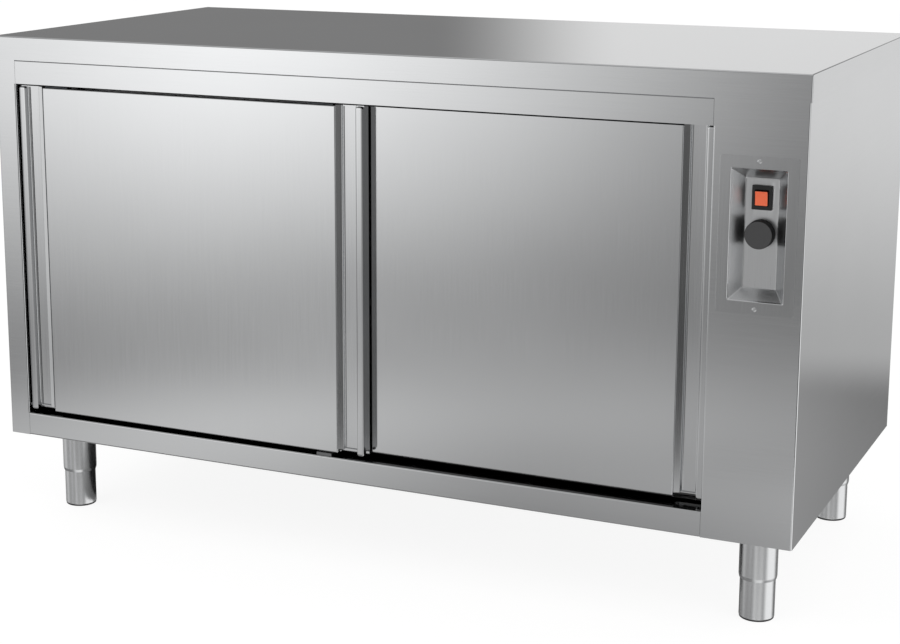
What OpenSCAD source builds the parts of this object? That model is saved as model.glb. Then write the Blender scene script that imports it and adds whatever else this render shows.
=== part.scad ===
// Heated plate cabinet: folded steel body on four feet, flat worktop, two hung sliding doors
// and a control bay with a sunk dish. Millimetres, floor at z = 0, front towards -Y.

/* [Body] */
// Width over the worktop
top_w = 1400; // [1200:10:1800]
// Depth over the worktop
top_d = 700; // [620:10:800]
// Height from the floor to the worktop
total_h = 850; // [820:5:950]
// Height of the folded edge of the worktop
top_edge = 40; // [38:1:60]
// How far the worktop stands past the body
overhang = 2; // [1:0.5:8]
// Depth of the return folded under the worktop's edge
top_return = 18; // [10:1:30]
// Thickness of the board bonded under the worktop
board_t = 18; // [10:1:22]
// Thickness of the steel sheet
sheet = 1.2; // [0.8:0.1:1.5]
// Radius of a fold, on the middle of the sheet
fold_r = 1.8; // [1.2:0.1:2.6]
// Clearance between two sheets that lie side by side
seam = 0.2; // [0.1:0.05:0.4]

/* [Front] */
// Width of the left stile
stile_w = 39; // [30:1:60]
// Width of the control bay's front
fascia_w = 139; // [130:1:200]
// Height of the rail above the doors
rail_top_h = 40; // [38:1:60]
// Height of the rail below the doors
rail_bottom_h = 40; // [30:1:60]
// Depth of the returns folded behind the front and the back
flange = 20; // [12:1:30]

/* [Doors] */
// Thickness of a door
door_t = 20; // [18:1:26]
// How far the front door's face lies behind the body's face
door_recess = 4; // [4:0.5:12]
// Free depth between the two doors
door_pass = 5; // [4:0.5:14]
// Width over which the closed doors overlap
door_overlap = 94; // [60:1:140]
// Gap between a closed door and its jamb
door_side_gap = 4; // [2:0.5:8]
// Gap over a door
door_gap_top = 4.5; // [4:0.5:8]
// Gap under a door
door_gap_bottom = 6.5; // [5:0.5:10]
// Width of the groove under a door
groove_w = 6; // [5:0.5:7]

/* [Door handles] */
// Width of a handle profile
handle_w = 47.5; // [44:0.5:60]
// Width of the lip along the door's edge
lip_w = 14; // [12:0.5:16]
// Thickness of the lip
lip_t = 7; // [6:0.5:7]
// Radius of the lip's corners
lip_r = 5; // [3:0.5:5.5]
// Width of the finger scoop
scoop_w = 18; // [16:0.5:20]
// Depth of the finger scoop
scoop_d = 15; // [13:0.5:16]
// Radius where the scoop's walls meet its floor
scoop_r = 7; // [4:0.5:7.5]
// How far the sloping strip beside the scoop falls
strip_drop = 3; // [1:0.5:4]
// Radius of the shoulder between strip and scoop
shoulder_r = 4; // [2:0.5:5]
// Height of the scoop's floor over the door's bottom edge
end_rise = 7.5; // [7:0.5:12]

/* [Door track] */
// Radius of a roller
roller_r = 12.5; // [10:0.5:13]
// Width of a roller
roller_w = 5.5; // [4:0.5:6]
// Radius of a roller's axle
axle_r = 3; // [2.5:0.5:4]
// Distance from a door's edge to its roller
hanger_inset = 75; // [65:1:140]
// Thickness of the track's walls and of the hangers
track_t = 2; // [1.5:0.5:2]
// Clearance of a running fit, on the radius
run_fit = 0.05; // [0.02:0.01:0.08]
// Clearance between a face and what runs beside it
run_gap = 0.3; // [0.2:0.05:0.4]
// Length of the guide block on the lower rail
guide_l = 27; // [20:1:32]
// Distance from the doors' left overlap edge to the guide block
guide_inset = 8; // [5:0.5:12]

/* [Legs] */
// Height of the body above the floor
leg_h = 150; // [140:1:200]
// Distance from the worktop's side edge to a leg's centre
leg_inset_x = 75; // [70:1:100]
// Distance from the worktop's front edge to a leg's centre
leg_inset_y = 100; // [80:1:130]
// Diameter of the leg's sleeve
sleeve_d = 59; // [56:0.5:64]
// Height of the sleeve's lower end above the floor
sleeve_end = 64; // [60:1:80]
// Height of the tapered end
taper_h = 10; // [6:1:16]
// Diameter of the foot's tube
foot_d = 54.6; // [52:0.1:54.8]
// Thickness of the black pad under the foot
pad_t = 4; // [3:0.5:8]
// Wall of the leg's tubes
tube_wall = 1.5; // [1:0.1:1.5]

/* [Controls] */
// Height of the controls' middle above the floor
control_z = 615; // [560:1:640]
// Width of the control plate
plate_w = 115; // [105:1:124]
// Height of the control plate
plate_h = 230; // [215:1:260]
// Width of the dish at its mouth
dish_w = 83; // [80:1:90]
// Height of the dish at its mouth
dish_h = 194; // [180:1:200]
// Width of the dish's floor
dish_floor_w = 50; // [48:1:60]
// Height of the dish's floor
dish_floor_h = 162; // [156:1:170]
// Depth of the dish
dish_d = 22; // [18:1:30]
// Diameter of the knob
knob_d = 42; // [36:1:46]
// Length of the knob
knob_h = 15.6; // [13:0.2:18]
// Radius of the knob's spindle
spindle_r = 3; // [2.5:0.5:4]
// Height of the switch over the middle of the dish
switch_up = 52.5; // [48:0.5:56]
// Width of the switch frame
bezel_w = 31; // [27:0.5:34]
// Height of the switch frame
bezel_h = 35; // [31:0.5:38]
// How far the switch frame stands out
bezel_out = 3.5; // [3:0.5:6]
// Width of the rocker
rocker_w = 19; // [16:0.5:20]
// Radius of the rocker about its pivot
rocker_r = 10.6; // [9:0.2:11]

/* [Heated chamber] */
// Distance between the inner and the outer back wall
wall_d = 33; // [20:1:50]
// Height of the shelf's face above the floor
shelf_z = 500; // [480:1:560]
// Height of the shelf's folded edge
shelf_edge = 30; // [20:1:32]
// Leg of the angle rails that carry the shelf
angle_leg = 25; // [18:1:30]
// Height of the fan's middle above the chamber's floor
fan_up = 128; // [122:1:135]
// Distance of the fan's middle behind the body's centre
fan_back = 40; // [0:1:60]
// Diameter of the fan wheel
fan_d = 150; // [120:2:160]
// Width of the fan wheel's blades
blade_w = 30; // [20:1:34]
// Number of blades
blade_n = 20; // [12:1:24]
// Distance from the body's back to the terminal block's front end
terminal_in = 168; // [150:1:200]
// Distance from the guard's face to the heating rings
ring_in = 30; // [28:1:32]
// Half of the motor mount's side
mount_half = 60; // [50:1:70]
// Side of the square guard over the fan
guard_s = 230; // [216:2:236]
// Depth of the guard
guard_d = 56; // [52:1:70]
// Radius of the heating tube
tube_r = 4; // [3:0.5:5]

/* [Hidden] */
$fn = 48;
eps = 0.01;

// Body, seen from outside
xl = -top_w / 2 + overhang;
xr = top_w / 2 - overhang;
yf = -top_d / 2 + overhang;
yb = top_d / 2 - overhang;
body_top = total_h - top_edge;
half = sheet / 2;
outer_r = fold_r + half;

// Door opening and the niche in which the doors run
open_l = xl + stile_w;
open_r = xr - fascia_w;
open_b = leg_h + rail_bottom_h;
open_t = body_top - rail_top_h;
niche_b = yf + door_recess + 2 * door_t + door_pass + 2;
open_w = open_r - open_l;
door_w = (open_w - 2 * door_side_gap + door_overlap) / 2;
door_b = open_b + door_gap_bottom;
door_top = open_t - door_gap_top;
left_x = open_l + door_side_gap;
right_x = open_r - door_side_gap - door_w;
left_y = yf + door_recess;
right_y = left_y + door_t + door_pass;

// Heated chamber, between its linings
in_l = open_l - sheet - seam;
in_r = open_r + sheet + seam;
in_b = yb - sheet - wall_d;
in_f = niche_b + seam * 2;
ceiling_z = open_t - 4;
base_top = leg_h + 2 * sheet;

// Track and rollers, measured behind a door's face
track_top = body_top - sheet;
ledge_top = open_t + 3 + track_t;
axle_z = ledge_top + run_gap + roller_r;
web_y = -0.5;
ledge_end = web_y + track_t + roller_w + 2.5;
roller_y = web_y + track_t + 1;
plate_y = ledge_end + 1;

// Legs
leg_x = top_w / 2 - leg_inset_x;
leg_y = top_d / 2 - leg_inset_y;
legs = [[-leg_x, -leg_y], [leg_x, -leg_y], [-leg_x, leg_y], [leg_x, leg_y]];
stud_r = 6;
plate_t = 3;
nut_h = 8;
liner_z = base_top + plate_t + run_gap;

// Controls
ctrl_x = (open_r + xr) / 2;
dish_y = yf + dish_d;
switch_z = control_z + switch_up;
pivot_y = dish_y - bezel_out + 3;
screw_up = plate_h / 2 - 7;

// Fan
fan_z = open_b + fan_up;
fan_x = in_r - guard_d;
shaft_r = 4;
mount_x = in_r + sheet + 20;

// ---------- general shapes ----------

// A box given by its lowest and its highest corner
module block(lo, hi) {
    translate(lo)
        cube(hi - lo);
}

// Extrudes a section in (X, Y) from one height to another
module along_z(z0, z1) {
    translate([0, 0, z0])
        linear_extrude(z1 - z0)
            children();
}

// Extrudes a section in (Y, Z) along X
module along_x(x0, x1) {
    translate([x0, 0, 0])
        rotate([90, 0, 90])
            linear_extrude(x1 - x0)
                children();
}

// Extrudes a section in (X, Z) along Y
module along_y(y0, y1) {
    translate([0, y1, 0])
        rotate([90, 0, 0])
            linear_extrude(y1 - y0)
                children();
}

function unit(v) = v / norm(v);

// One flat stretch of sheet about its middle line
module strip(p, q) {
    dx = abs(q.x - p.x);
    dy = abs(q.y - p.y);
    translate([min(p.x, q.x) - (dx < eps ? half : 0), min(p.y, q.y) - (dy < eps ? half : 0)])
        square([dx < eps ? sheet : dx, dy < eps ? sheet : dy]);
}

// One right-angled bend of sheet at corner b
module bend(a, b, c) {
    u = unit(b - a);
    v = unit(c - b);
    q = (u - v) * (outer_r + 1);
    translate(b - u * fold_r + v * fold_r)
        intersection() {
            difference() {
                circle(outer_r);
                circle(fold_r - half);
            }
            translate([min(0, q.x), min(0, q.y)])
                square([abs(q.x), abs(q.y)]);
        }
}

// Section of a sheet folded along a path of square corners
module fold(path) {
    last = len(path) - 2;
    for (i = [0 : last]) {
        u = unit(path[i + 1] - path[i]);
        strip(path[i] + u * (i == 0 ? 0 : fold_r), path[i + 1] - u * (i == last ? 0 : fold_r));
    }
    for (i = [1 : last])
        bend(path[i - 1], path[i], path[i + 1]);
}

// A rectangle with round corners, about the origin
module round_rect(w, h, r) {
    square([w - 2 * r, h], center = true);
    square([w, h - 2 * r], center = true);
    for (sx = [-1, 1], sy = [-1, 1])
        translate([sx * (w / 2 - r), sy * (h / 2 - r)])
            circle(r);
}

// A slab on the XY plane with round corners and a round upper edge
module soft_slab(w, h, d, r) {
    linear_extrude(d - r)
        round_rect(w, h, r);
    translate([-w / 2 + r, -h / 2 + r, d - r - eps])
        cube([w - 2 * r, h - 2 * r, r + eps]);
    for (s = [-1, 1]) {
        translate([-w / 2 + r, s * (h / 2 - r), d - r])
            rotate([0, 90, 0])
                cylinder(h = w - 2 * r, r = r);
        translate([s * (w / 2 - r), -h / 2 + r, d - r])
            rotate([-90, 0, 0])
                cylinder(h = h - 2 * r, r = r);
        for (q = [-1, 1])
            translate([s * (w / 2 - r), q * (h / 2 - r), d - r])
                sphere(r);
    }
}

// A tray of sheet, open below: a slab with its inside taken out
module tray(w, h, d) {
    difference() {
        soft_slab(w, h, d, outer_r);
        translate([0, 0, -eps])
            linear_extrude(d - sheet + eps)
                square([w - 2 * sheet, h - 2 * sheet], center = true);
    }
}

// ---------- worktop ----------

// Folded worktop with a return under its edge
module worktop() {
    color("silver")
        translate([0, 0, body_top]) {
            tray(top_w, top_d, top_edge);
            linear_extrude(sheet)
                difference() {
                    square([top_w - 2 * sheet, top_d - 2 * sheet], center = true);
                    square([top_w - 2 * top_return, top_d - 2 * top_return], center = true);
                }
        }
}

// Board that stiffens and quietens the worktop
module worktop_board() {
    color("burlywood")
        block([-top_w / 2 + 6, -top_d / 2 + 6, total_h - sheet - board_t],
            [top_w / 2 - 6, top_d / 2 - 6, total_h - sheet]);
}

// ---------- outer body ----------

// Section of a side: front, side and back return. s is 1 on the left and -1 on the right.
module side_section(s, x_out, x_front) {
    fold([[x_front, yf + half], [x_out + s * half, yf + half],
        [x_out + s * half, yb - half], [x_out + s * flange, yb - half]]);
}

// The jamb folded back from the front's free edge, beside the doors
module jamb(s, x_open) {
    along_z(open_b + seam, open_t - seam)
        fold([[x_open - s * 3 * outer_r, yf + half], [x_open - s * half, yf + half],
            [x_open - s * half, niche_b]]);
}

// Left side with the stile and the left jamb, folded from one sheet
module side_left() {
    color("gainsboro") {
        along_z(leg_h, body_top)
            side_section(1, xl, open_l - 2 * outer_r);
        jamb(1, open_l);
        for (z = [[leg_h, open_b + seam], [open_t - seam, body_top]])
            block([open_l - 2.5 * outer_r, yf, z[0]], [open_l - seam, yf + sheet, z[1]]);
    }
}

// Right side with the control bay's front and the right jamb, folded from one sheet
module side_right() {
    color("gainsboro")
        difference() {
            union() {
                along_z(leg_h, body_top)
                    side_section(-1, xr, open_r + 2 * outer_r);
                jamb(-1, open_r);
                for (z = [[leg_h, open_b + seam], [open_t - seam, body_top]])
                    block([open_r + seam, yf, z[0]], [open_r + 2.5 * outer_r, yf + sheet, z[1]]);
            }
            block([ctrl_x - dish_w / 2 - 4, yf - 1, control_z - dish_h / 2 - 4],
                [ctrl_x + dish_w / 2 + 4, yf + sheet + 1, control_z + dish_h / 2 + 4]);
            for (s = [-1, 1])
                translate([ctrl_x, yf - 1, control_z + s * screw_up])
                    rotate([-90, 0, 0])
                        cylinder(h = sheet + 2, r = 2.2);
        }
}

// Back wall with the control bay's air slots
module rear_panel() {
    slot_l = fascia_w - 70;
    color("lightgray")
        difference() {
            block([xl + 3, yb - 2 * sheet, leg_h + 2], [xr - 3, yb - sheet, body_top - 1]);
            for (i = [0 : 9], z0 = [base_top + 60, body_top - 160])
                translate([ctrl_x, yb - 3 * sheet, z0 + i * 10])
                    rotate([-90, 0, 0])
                        linear_extrude(3 * sheet)
                            round_rect(slot_l, 4, 1.9);
        }
}

// Bottom tray between the sides, drilled for the legs and the cable entry
module base_panel() {
    w = xr - xl - 2 * sheet - 2 * seam;
    front = yf + sheet + fold_r + seam;
    color("lightgray")
        difference() {
            union() {
                along_y(front, yb - 2 * sheet - seam)
                    fold([[-w / 2 + half, base_top + flange], [-w / 2 + half, base_top - half],
                        [w / 2 - half, base_top - half], [w / 2 - half, base_top + flange]]);
            }
            for (p = legs)
                translate([p.x, p.y, leg_h])
                    cylinder(h = 10, r = stud_r + 0.3);
            translate([gland_x, gland_y, leg_h])
                cylinder(h = 10, r = gland_neck_r + 0.2);
        }
}

// Rail over the doors: lower lip, face and the top return that holds the track
module top_rail() {
    color("gainsboro")
        along_x(open_l + seam, open_r - seam)
            fold([[yf + half, open_t], [yf + half, body_top - half], [niche_b, body_top - half]]);
}

// Rail under the doors, with the shelf on which the guide block stands
module bottom_rail() {
    color("gainsboro")
        along_x(open_l + seam, open_r - seam)
            fold([[yf + flange, leg_h + half], [yf + half, leg_h + half],
                [yf + half, open_b - half], [niche_b - half, open_b - half],
                [niche_b - half, open_b - flange]]);
}

// ---------- door track ----------

// Web and ledge for one door's rollers
module track_section(y) {
    translate([y + web_y, ledge_top - track_t])
        square([track_t, track_top - ledge_top + track_t]);
    translate([y + web_y, ledge_top - track_t])
        square([ledge_end - web_y, track_t]);
}

// Double track under the top rail
module door_track() {
    color("darkgray")
        along_x(open_l + 1, open_r - 1) {
            track_section(left_y);
            track_section(right_y);
            translate([left_y + web_y, track_top - track_t])
                square([niche_b - 1 - left_y - web_y, track_t]);
        }
}

// Guide block on the lower rail: one fin runs in the groove of each door
module bottom_guide() {
    x = right_x + guide_inset;
    fin = groove_w - 3;
    color("whitesmoke") {
        block([x, yf + sheet + 1, open_b], [x + guide_l, right_y + door_t - 1, door_b - 1.5]);
        for (y = [left_y, right_y])
            block([x, y + door_t / 2 - fin / 2, door_b - 2],
                [x + guide_l, y + door_t / 2 + fin / 2, door_b + end_rise - 2.5]);
    }
}

// ---------- doors ----------

// Middle of the shoulder's round, which the scoop's wall and the sloping strip just cut
function shoulder_at(side, n) =
    [side + shoulder_r - 0.1, strip_drop + shoulder_r * (1 - n.x) / n.y];

// Section behind the lip: scoop, shoulder and sloping strip
module handle_section(side, n, c) {
    back = door_t - sheet;
    difference() {
        union() {
            polygon([[0, lip_t - 1], [lip_w + 1, lip_t - 1], [lip_w + 1, c.y], c,
                c - n * (shoulder_r - 0.06), [handle_w, 0], [handle_w, back], [0, back]]);
            translate(c)
                circle(shoulder_r);
        }
        translate([lip_w, -1])
            square([scoop_w, scoop_d - scoop_r + 1]);
        translate([lip_w + scoop_r, -1])
            square([scoop_w - 2 * scoop_r, scoop_d + 1]);
        for (x = [lip_w + scoop_r, side - scoop_r])
            translate([x, scoop_d - scoop_r])
                circle(scoop_r);
    }
}

// Section of the lip, with both front corners round
module lip_section() {
    translate([0, lip_r])
        square([lip_w, lip_t - lip_r]);
    translate([lip_r, 0])
        square([lip_w - 2 * lip_r, lip_t]);
    for (x = [lip_r, lip_w - lip_r])
        translate([x, lip_r])
            circle(lip_r);
}

// Full-height handle on the left edge of a door, with its face at y = 0
module handle() {
    h = door_top - door_b;
    back = door_t - sheet;
    side = lip_w + scoop_w;
    run = handle_w - side;
    n = [strip_drop, run] / norm([run, strip_drop]);
    c = shoulder_at(side, n);
    lo = door_b + end_rise;
    hi = door_top + 1;
    wall = 1.5;
    difference() {
        union() {
            intersection() {
                along_z(door_b, door_top)
                    lip_section();
                along_y(-1, lip_t + 1)
                    translate([lip_w / 2, door_b + h / 2])
                        round_rect(lip_w, h, lip_r);
            }
            along_z(lo, hi)
                handle_section(side, n, c);
            for (z = [lo, hi - wall])
                block([lip_w - 1, c.y + 1.5, z], [side + 1, back, z + wall]);
        }
        block([wall, lip_t + wall, lo + wall], [lip_w - wall, back + 1, hi - wall]);
        block([side + wall, c.y, lo + wall], [handle_w - wall, back + 1, hi - wall]);
    }
}

// Front tray of a door, grooved below, with its left edge at x = 0 and its face at y = 0
module door_front() {
    w = door_w - 2 * handle_w - 2 * seam;
    h = door_top - door_b;
    difference() {
        translate([door_w / 2, door_t - sheet, door_b + h / 2])
            rotate([90, 0, 0])
                tray(w, h, door_t - sheet);
        block([handle_w, (door_t - groove_w) / 2, door_b - 1],
            [door_w - handle_w, (door_t + groove_w) / 2, door_b + end_rise]);
    }
}

// Inner skin of a door
module door_back() {
    block([0, door_t - sheet, door_b], [door_w, door_t, door_top]);
}

// Hanger with its axle, x at the roller's middle
module hanger() {
    foot_z = door_top;
    block([-22, 2, foot_z], [22, door_t - 3, foot_z + track_t]);
    along_y(plate_y, plate_y + track_t)
        union() {
            translate([-15, foot_z])
                square([30, axle_z - foot_z]);
            translate([0, axle_z])
                circle(9);
        }
    translate([0, 0, axle_z])
        rotate([-90, 0, 0]) {
            translate([0, 0, roller_y - run_gap - 0.2])
                cylinder(h = plate_y - roller_y + 1, r = axle_r);
            translate([0, 0, roller_y + roller_w + run_gap])
                cylinder(h = plate_y - roller_y - roller_w, r = axle_r + 2);
            translate([0, 0, roller_y - run_gap - 0.5])
                cylinder(h = 0.5, r = axle_r + 1.5);
        }
}

// Roller with a turned recess in its front
module roller() {
    translate([0, roller_y, axle_z])
        rotate([-90, 0, 0])
            difference() {
                cylinder(h = roller_w, r = roller_r);
                translate([0, 0, -1])
                    cylinder(h = roller_w + 2, r = axle_r + run_fit);
                translate([0, 0, -eps])
                    difference() {
                        cylinder(h = 1.2, r = roller_r - 2.5);
                        cylinder(h = 1.2, r = axle_r + 2.5);
                    }
            }
}

// Places a door's piece at the closed place of the left or the right door
module at_left() {
    translate([left_x, left_y, 0])
        children();
}

module at_right() {
    translate([right_x, right_y, 0])
        children();
}

// Puts a left-hand piece at the other edge of its door
module other_edge() {
    translate([door_w, 0, 0])
        mirror([1, 0, 0])
            children();
}

module both_hangers() {
    for (x = [hanger_inset, door_w - hanger_inset])
        translate([x, 0, 0])
            hanger();
}

module left_door_front() {
    color("silver")
        at_left()
            door_front();
}

module left_door_back() {
    color("gainsboro")
        at_left()
            door_back();
}

module left_door_outer_handle() {
    color("lightsteelblue")
        at_left()
            handle();
}

module left_door_inner_handle() {
    color("lightsteelblue")
        at_left()
            other_edge()
                handle();
}

module left_door_hangers() {
    color("gray")
        at_left()
            both_hangers();
}

module left_roller_outer() {
    color("ivory")
        at_left()
            translate([hanger_inset, 0, 0])
                roller();
}

module left_roller_inner() {
    color("ivory")
        at_left()
            translate([door_w - hanger_inset, 0, 0])
                roller();
}

module right_door_front() {
    color("silver")
        at_right()
            door_front();
}

module right_door_back() {
    color("gainsboro")
        at_right()
            door_back();
}

module right_door_outer_handle() {
    color("lightsteelblue")
        at_right()
            other_edge()
                handle();
}

module right_door_inner_handle() {
    color("lightsteelblue")
        at_right()
            handle();
}

module right_door_hangers() {
    color("gray")
        at_right()
            both_hangers();
}

module right_roller_outer() {
    color("ivory")
        at_right()
            translate([door_w - hanger_inset, 0, 0])
                roller();
}

module right_roller_inner() {
    color("ivory")
        at_right()
            translate([hanger_inset, 0, 0])
                roller();
}

// ---------- heated chamber ----------

// Left lining
module liner_left() {
    color("gainsboro")
        block([in_l - sheet, yf + sheet + 1, liner_z], [in_l, yb - 2 * sheet - 1, track_top]);
}

// Wall between the chamber and the control bay, holed for the fan's shaft and the heater's ends
module partition() {
    color("gainsboro")
        difference() {
            block([in_r, yf + sheet + 1, liner_z],
                [in_r + sheet, yb - 2 * sheet - 1, track_top]);
            translate([in_r - 1, fan_back, fan_z])
                rotate([0, 90, 0])
                    cylinder(h = sheet + 2, r = shaft_r + 3);
            for (r = ring_rs)
                translate([in_r - 1, fan_back - ring_gap, fan_z - tail_drop(r)])
                    rotate([0, 90, 0])
                        cylinder(h = sheet + 2, r = tube_r + 1 + seam);
        }
}

// Back lining
module liner_rear() {
    color("gainsboro")
        block([in_l + seam, in_b, liner_z], [in_r - seam, in_b + sheet, track_top]);
}

// Floor with its front edge turned down against the lower rail
module chamber_floor() {
    color("silver")
        along_x(in_l + seam, in_r - seam)
            fold([[in_f + half, base_top + 1], [in_f + half, open_b - half],
                [in_b - seam, open_b - half]]);
}

// Ceiling with its front edge turned up behind the track
module chamber_ceiling() {
    color("silver")
        along_x(in_l + seam, in_r - seam)
            fold([[in_f + half, track_top], [in_f + half, ceiling_z + half],
                [in_b - seam, ceiling_z + half]]);
}

// Shelf tray with a stiffener under it
module shelf() {
    w = in_r - in_l - 10;
    d = in_b - in_f - 8;
    y = (in_b + in_f) / 2;
    color("silver")
        translate([(in_l + in_r) / 2, y, shelf_z - shelf_edge]) {
            tray(w, d, shelf_edge);
            along_x(-w / 2 + 20, w / 2 - 20)
                fold([[-60, shelf_edge - sheet - half], [-30, shelf_edge - sheet - half],
                    [-30, 6], [30, 6], [30, shelf_edge - sheet - half],
                    [60, shelf_edge - sheet - half]]);
        }
}

// Angle rails that carry the shelf at both ends
module shelf_supports() {
    z = shelf_z - shelf_edge;
    color("darkgray")
        for (s = [[in_l, 1], [in_r, -1]])
            along_y(in_f + 10, in_b - 10)
                fold([[s[0] + s[1] * half, z - angle_leg], [s[0] + s[1] * half, z - half],
                    [s[0] + s[1] * angle_leg, z - half]]);
}

// Mineral wool at the left, the back, over the ceiling and under the floor
module insulation() {
    low = base_top + flange + 2;
    color("khaki") {
        block([xl + sheet + 0.3, in_f + 4, low], [in_l - sheet - 0.3, in_b, track_top - 1]);
        block([in_l + 1, in_b + sheet + 0.3, low], [in_r - 1, yb - 2 * sheet - 0.3, track_top - 1]);
        block([in_l + 1, in_f + outer_r + 1, ceiling_z + sheet + 0.3],
            [in_r - 1, in_b - 1, track_top - 1]);
        difference() {
            block([in_l + 1, in_f + outer_r + 1, base_top + plate_t + 0.5],
                [in_r - 1, in_b - 1, open_b - sheet - 0.3]);
            for (p = legs)
                translate([p.x, p.y, base_top])
                    cylinder(h = plate_t + nut_h + 5, r = 18);
        }
    }
}

// ---------- fan heater ----------

ring_gap = 14;
ring_rs = [fan_d / 2 + 9, fan_d / 2 + 22];

// How far a ring's ends lie below the fan's middle
function tail_drop(r) = sqrt(r * r - ring_gap * ring_gap);

// Slotted guard over the fan, screwed to the wall of the control bay
module heater_guard() {
    n = 9;
    pitch = 16;
    color("lightslategray")
        difference() {
            translate([in_r, fan_back, fan_z])
                rotate([0, -90, 0])
                    tray(guard_s, guard_s, guard_d);
            for (i = [0 : n - 1]) {
                z = (i - (n - 1) / 2) * pitch;
                y = sqrt(pow(fan_d / 2 + 4, 2) - z * z);
                translate([fan_x - 2, fan_back, fan_z + z])
                    rotate([0, 90, 0])
                        linear_extrude(sheet + 4)
                            round_rect(7, 2 * y, 3.4);
            }
            for (y = [-3 : 3], s = [-1, 1])
                translate([fan_x + guard_d / 2, fan_back + y * 28, fan_z + s * guard_s / 2 - 5])
                    linear_extrude(10)
                        round_rect(28, 6, 2.9);
        }
}

// Round heating tube in two rings, joined at one end, with both cold ends through the wall
module heating_element() {
    x0 = fan_x + ring_in;
    thick = tube_r + 1;
    color("dimgray")
        translate([0, fan_back, fan_z]) {
            for (r = ring_rs) {
                a = asin(ring_gap / r);
                translate([x0, 0, 0])
                    rotate([0, 90, 0])
                        rotate([0, 0, a])
                            rotate_extrude(angle = 360 - 2 * a, $fn = 96)
                                translate([r, 0])
                                    circle(tube_r, $fn = 24);
                translate([x0 - thick, -ring_gap, -tail_drop(r)])
                    rotate([0, 90, 0])
                        cylinder(h = in_r + sheet + 18 - x0 + thick, r = thick);
            }
            translate([x0, ring_gap, -tail_drop(ring_rs[1]) - thick])
                cylinder(h = tail_drop(ring_rs[1]) - tail_drop(ring_rs[0]) + 2 * thick, r = thick);
        }
}

// Motor behind the wall, with the bearing bore for the fan's shaft
module fan_motor() {
    color("slategray")
        translate([mount_x + plate_t, fan_back, fan_z])
            rotate([0, 90, 0])
                difference() {
                    union() {
                        cylinder(h = 46, r = 34);
                        translate([0, 0, 46])
                            cylinder(h = 8, r = 14);
                        for (a = [0 : 30 : 330])
                            rotate([0, 0, a])
                                translate([33, -1.5, 4])
                                    cube([4, 3, 38]);
                    }
                    translate([0, 0, -1])
                        cylinder(h = 51, r = shaft_r + run_fit);
                }
}

// Plate and posts that hold the motor off the hot wall
module motor_mount() {
    color("darkgray")
        translate([0, fan_back, fan_z]) {
            difference() {
                block([mount_x, -mount_half, -mount_half],
                    [mount_x + plate_t, mount_half, mount_half]);
                translate([mount_x - 1, 0, 0])
                    rotate([0, 90, 0])
                        cylinder(h = plate_t + 2, r = shaft_r + 4);
            }
            for (y = [-1, 1], z = [-1, 1])
                translate([in_r + sheet, y * (mount_half - 10), z * (mount_half - 10)])
                    rotate([0, 90, 0])
                        cylinder(h = mount_x - in_r - sheet, r = 5);
        }
}

// Fan wheel: back disc, curved-back row of blades, front ring, hub and shaft
module fan_rotor() {
    disc_x = in_r - 12;
    color("lightgray")
        translate([0, fan_back, fan_z])
            rotate([0, 90, 0]) {
                translate([0, 0, disc_x])
                    cylinder(h = 2, r = fan_d / 2);
                translate([0, 0, disc_x - blade_w])
                    difference() {
                        cylinder(h = 2, r = fan_d / 2);
                        translate([0, 0, -1])
                            cylinder(h = 4, r = fan_d / 2 - 20);
                    }
                for (i = [0 : blade_n - 1])
                    rotate([0, 0, i * 360 / blade_n])
                        translate([fan_d / 2 - 18, 0, disc_x - blade_w])
                            rotate([0, 0, 35])
                                translate([0, -0.6, 0])
                                    cube([17, 1.2, blade_w + 1]);
                translate([0, 0, disc_x - 14])
                    cylinder(h = 15, r = 12);
                translate([0, 0, disc_x - 18])
                    cylinder(h = mount_x + plate_t + 44 - disc_x, r = shaft_r);
            }
}

// ---------- controls ----------

// Wedge-sided space or solid: w0 by h0 at y0, narrowing to w1 by h1 at y1
module frustum(w0, h0, y0, w1, h1, y1) {
    intersection() {
        along_z(-h0, h0)
            polygon([[-w0 / 2, y0], [w0 / 2, y0], [w1 / 2, y1], [-w1 / 2, y1]]);
        along_x(-w0, w0)
            polygon([[y0, -h0 / 2], [y0, h0 / 2], [y1, h1 / 2], [y1, -h1 / 2]]);
    }
}

// Pressed plate with the sunk dish for switch and knob
module control_plate() {
    wall = sheet * 1.25;
    color("gray")
        translate([ctrl_x, 0, control_z])
            difference() {
                union() {
                    along_y(yf - sheet, yf)
                        round_rect(plate_w, plate_h, 3);
                    frustum(dish_w + 2 * wall, dish_h + 2 * wall, yf - sheet,
                        dish_floor_w + 2 * wall, dish_floor_h + 2 * wall, dish_y + sheet);
                }
                frustum(dish_w, dish_h, yf - sheet - eps,
                    dish_floor_w, dish_floor_h, dish_y);
                translate([0, 0, switch_up])
                    along_y(dish_y - 1, dish_y + sheet + 1)
                        square([bezel_w - 4, bezel_h - 4], center = true);
                translate([0, dish_y - 1, 0])
                    rotate([-90, 0, 0])
                        cylinder(h = sheet + 2, r = spindle_r + 2.5);
                for (s = [-1, 1])
                    translate([0, yf - sheet - 1, s * screw_up])
                        rotate([-90, 0, 0])
                            cylinder(h = sheet + 2, r = 2.2);
            }
}

// Two domed screws through the plate
module plate_screws() {
    color("white")
        for (s = [-1, 1])
            translate([ctrl_x, yf - sheet, control_z + s * screw_up])
                rotate([90, 0, 0]) {
                    intersection() {
                        cylinder(h = 1, r = 3.4);
                        translate([0, 0, -6.8])
                            sphere(7.5);
                    }
                    translate([0, 0, -2 * sheet - 3])
                        cylinder(h = 2 * sheet + 3 + eps, r = 2);
                }
}

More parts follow.
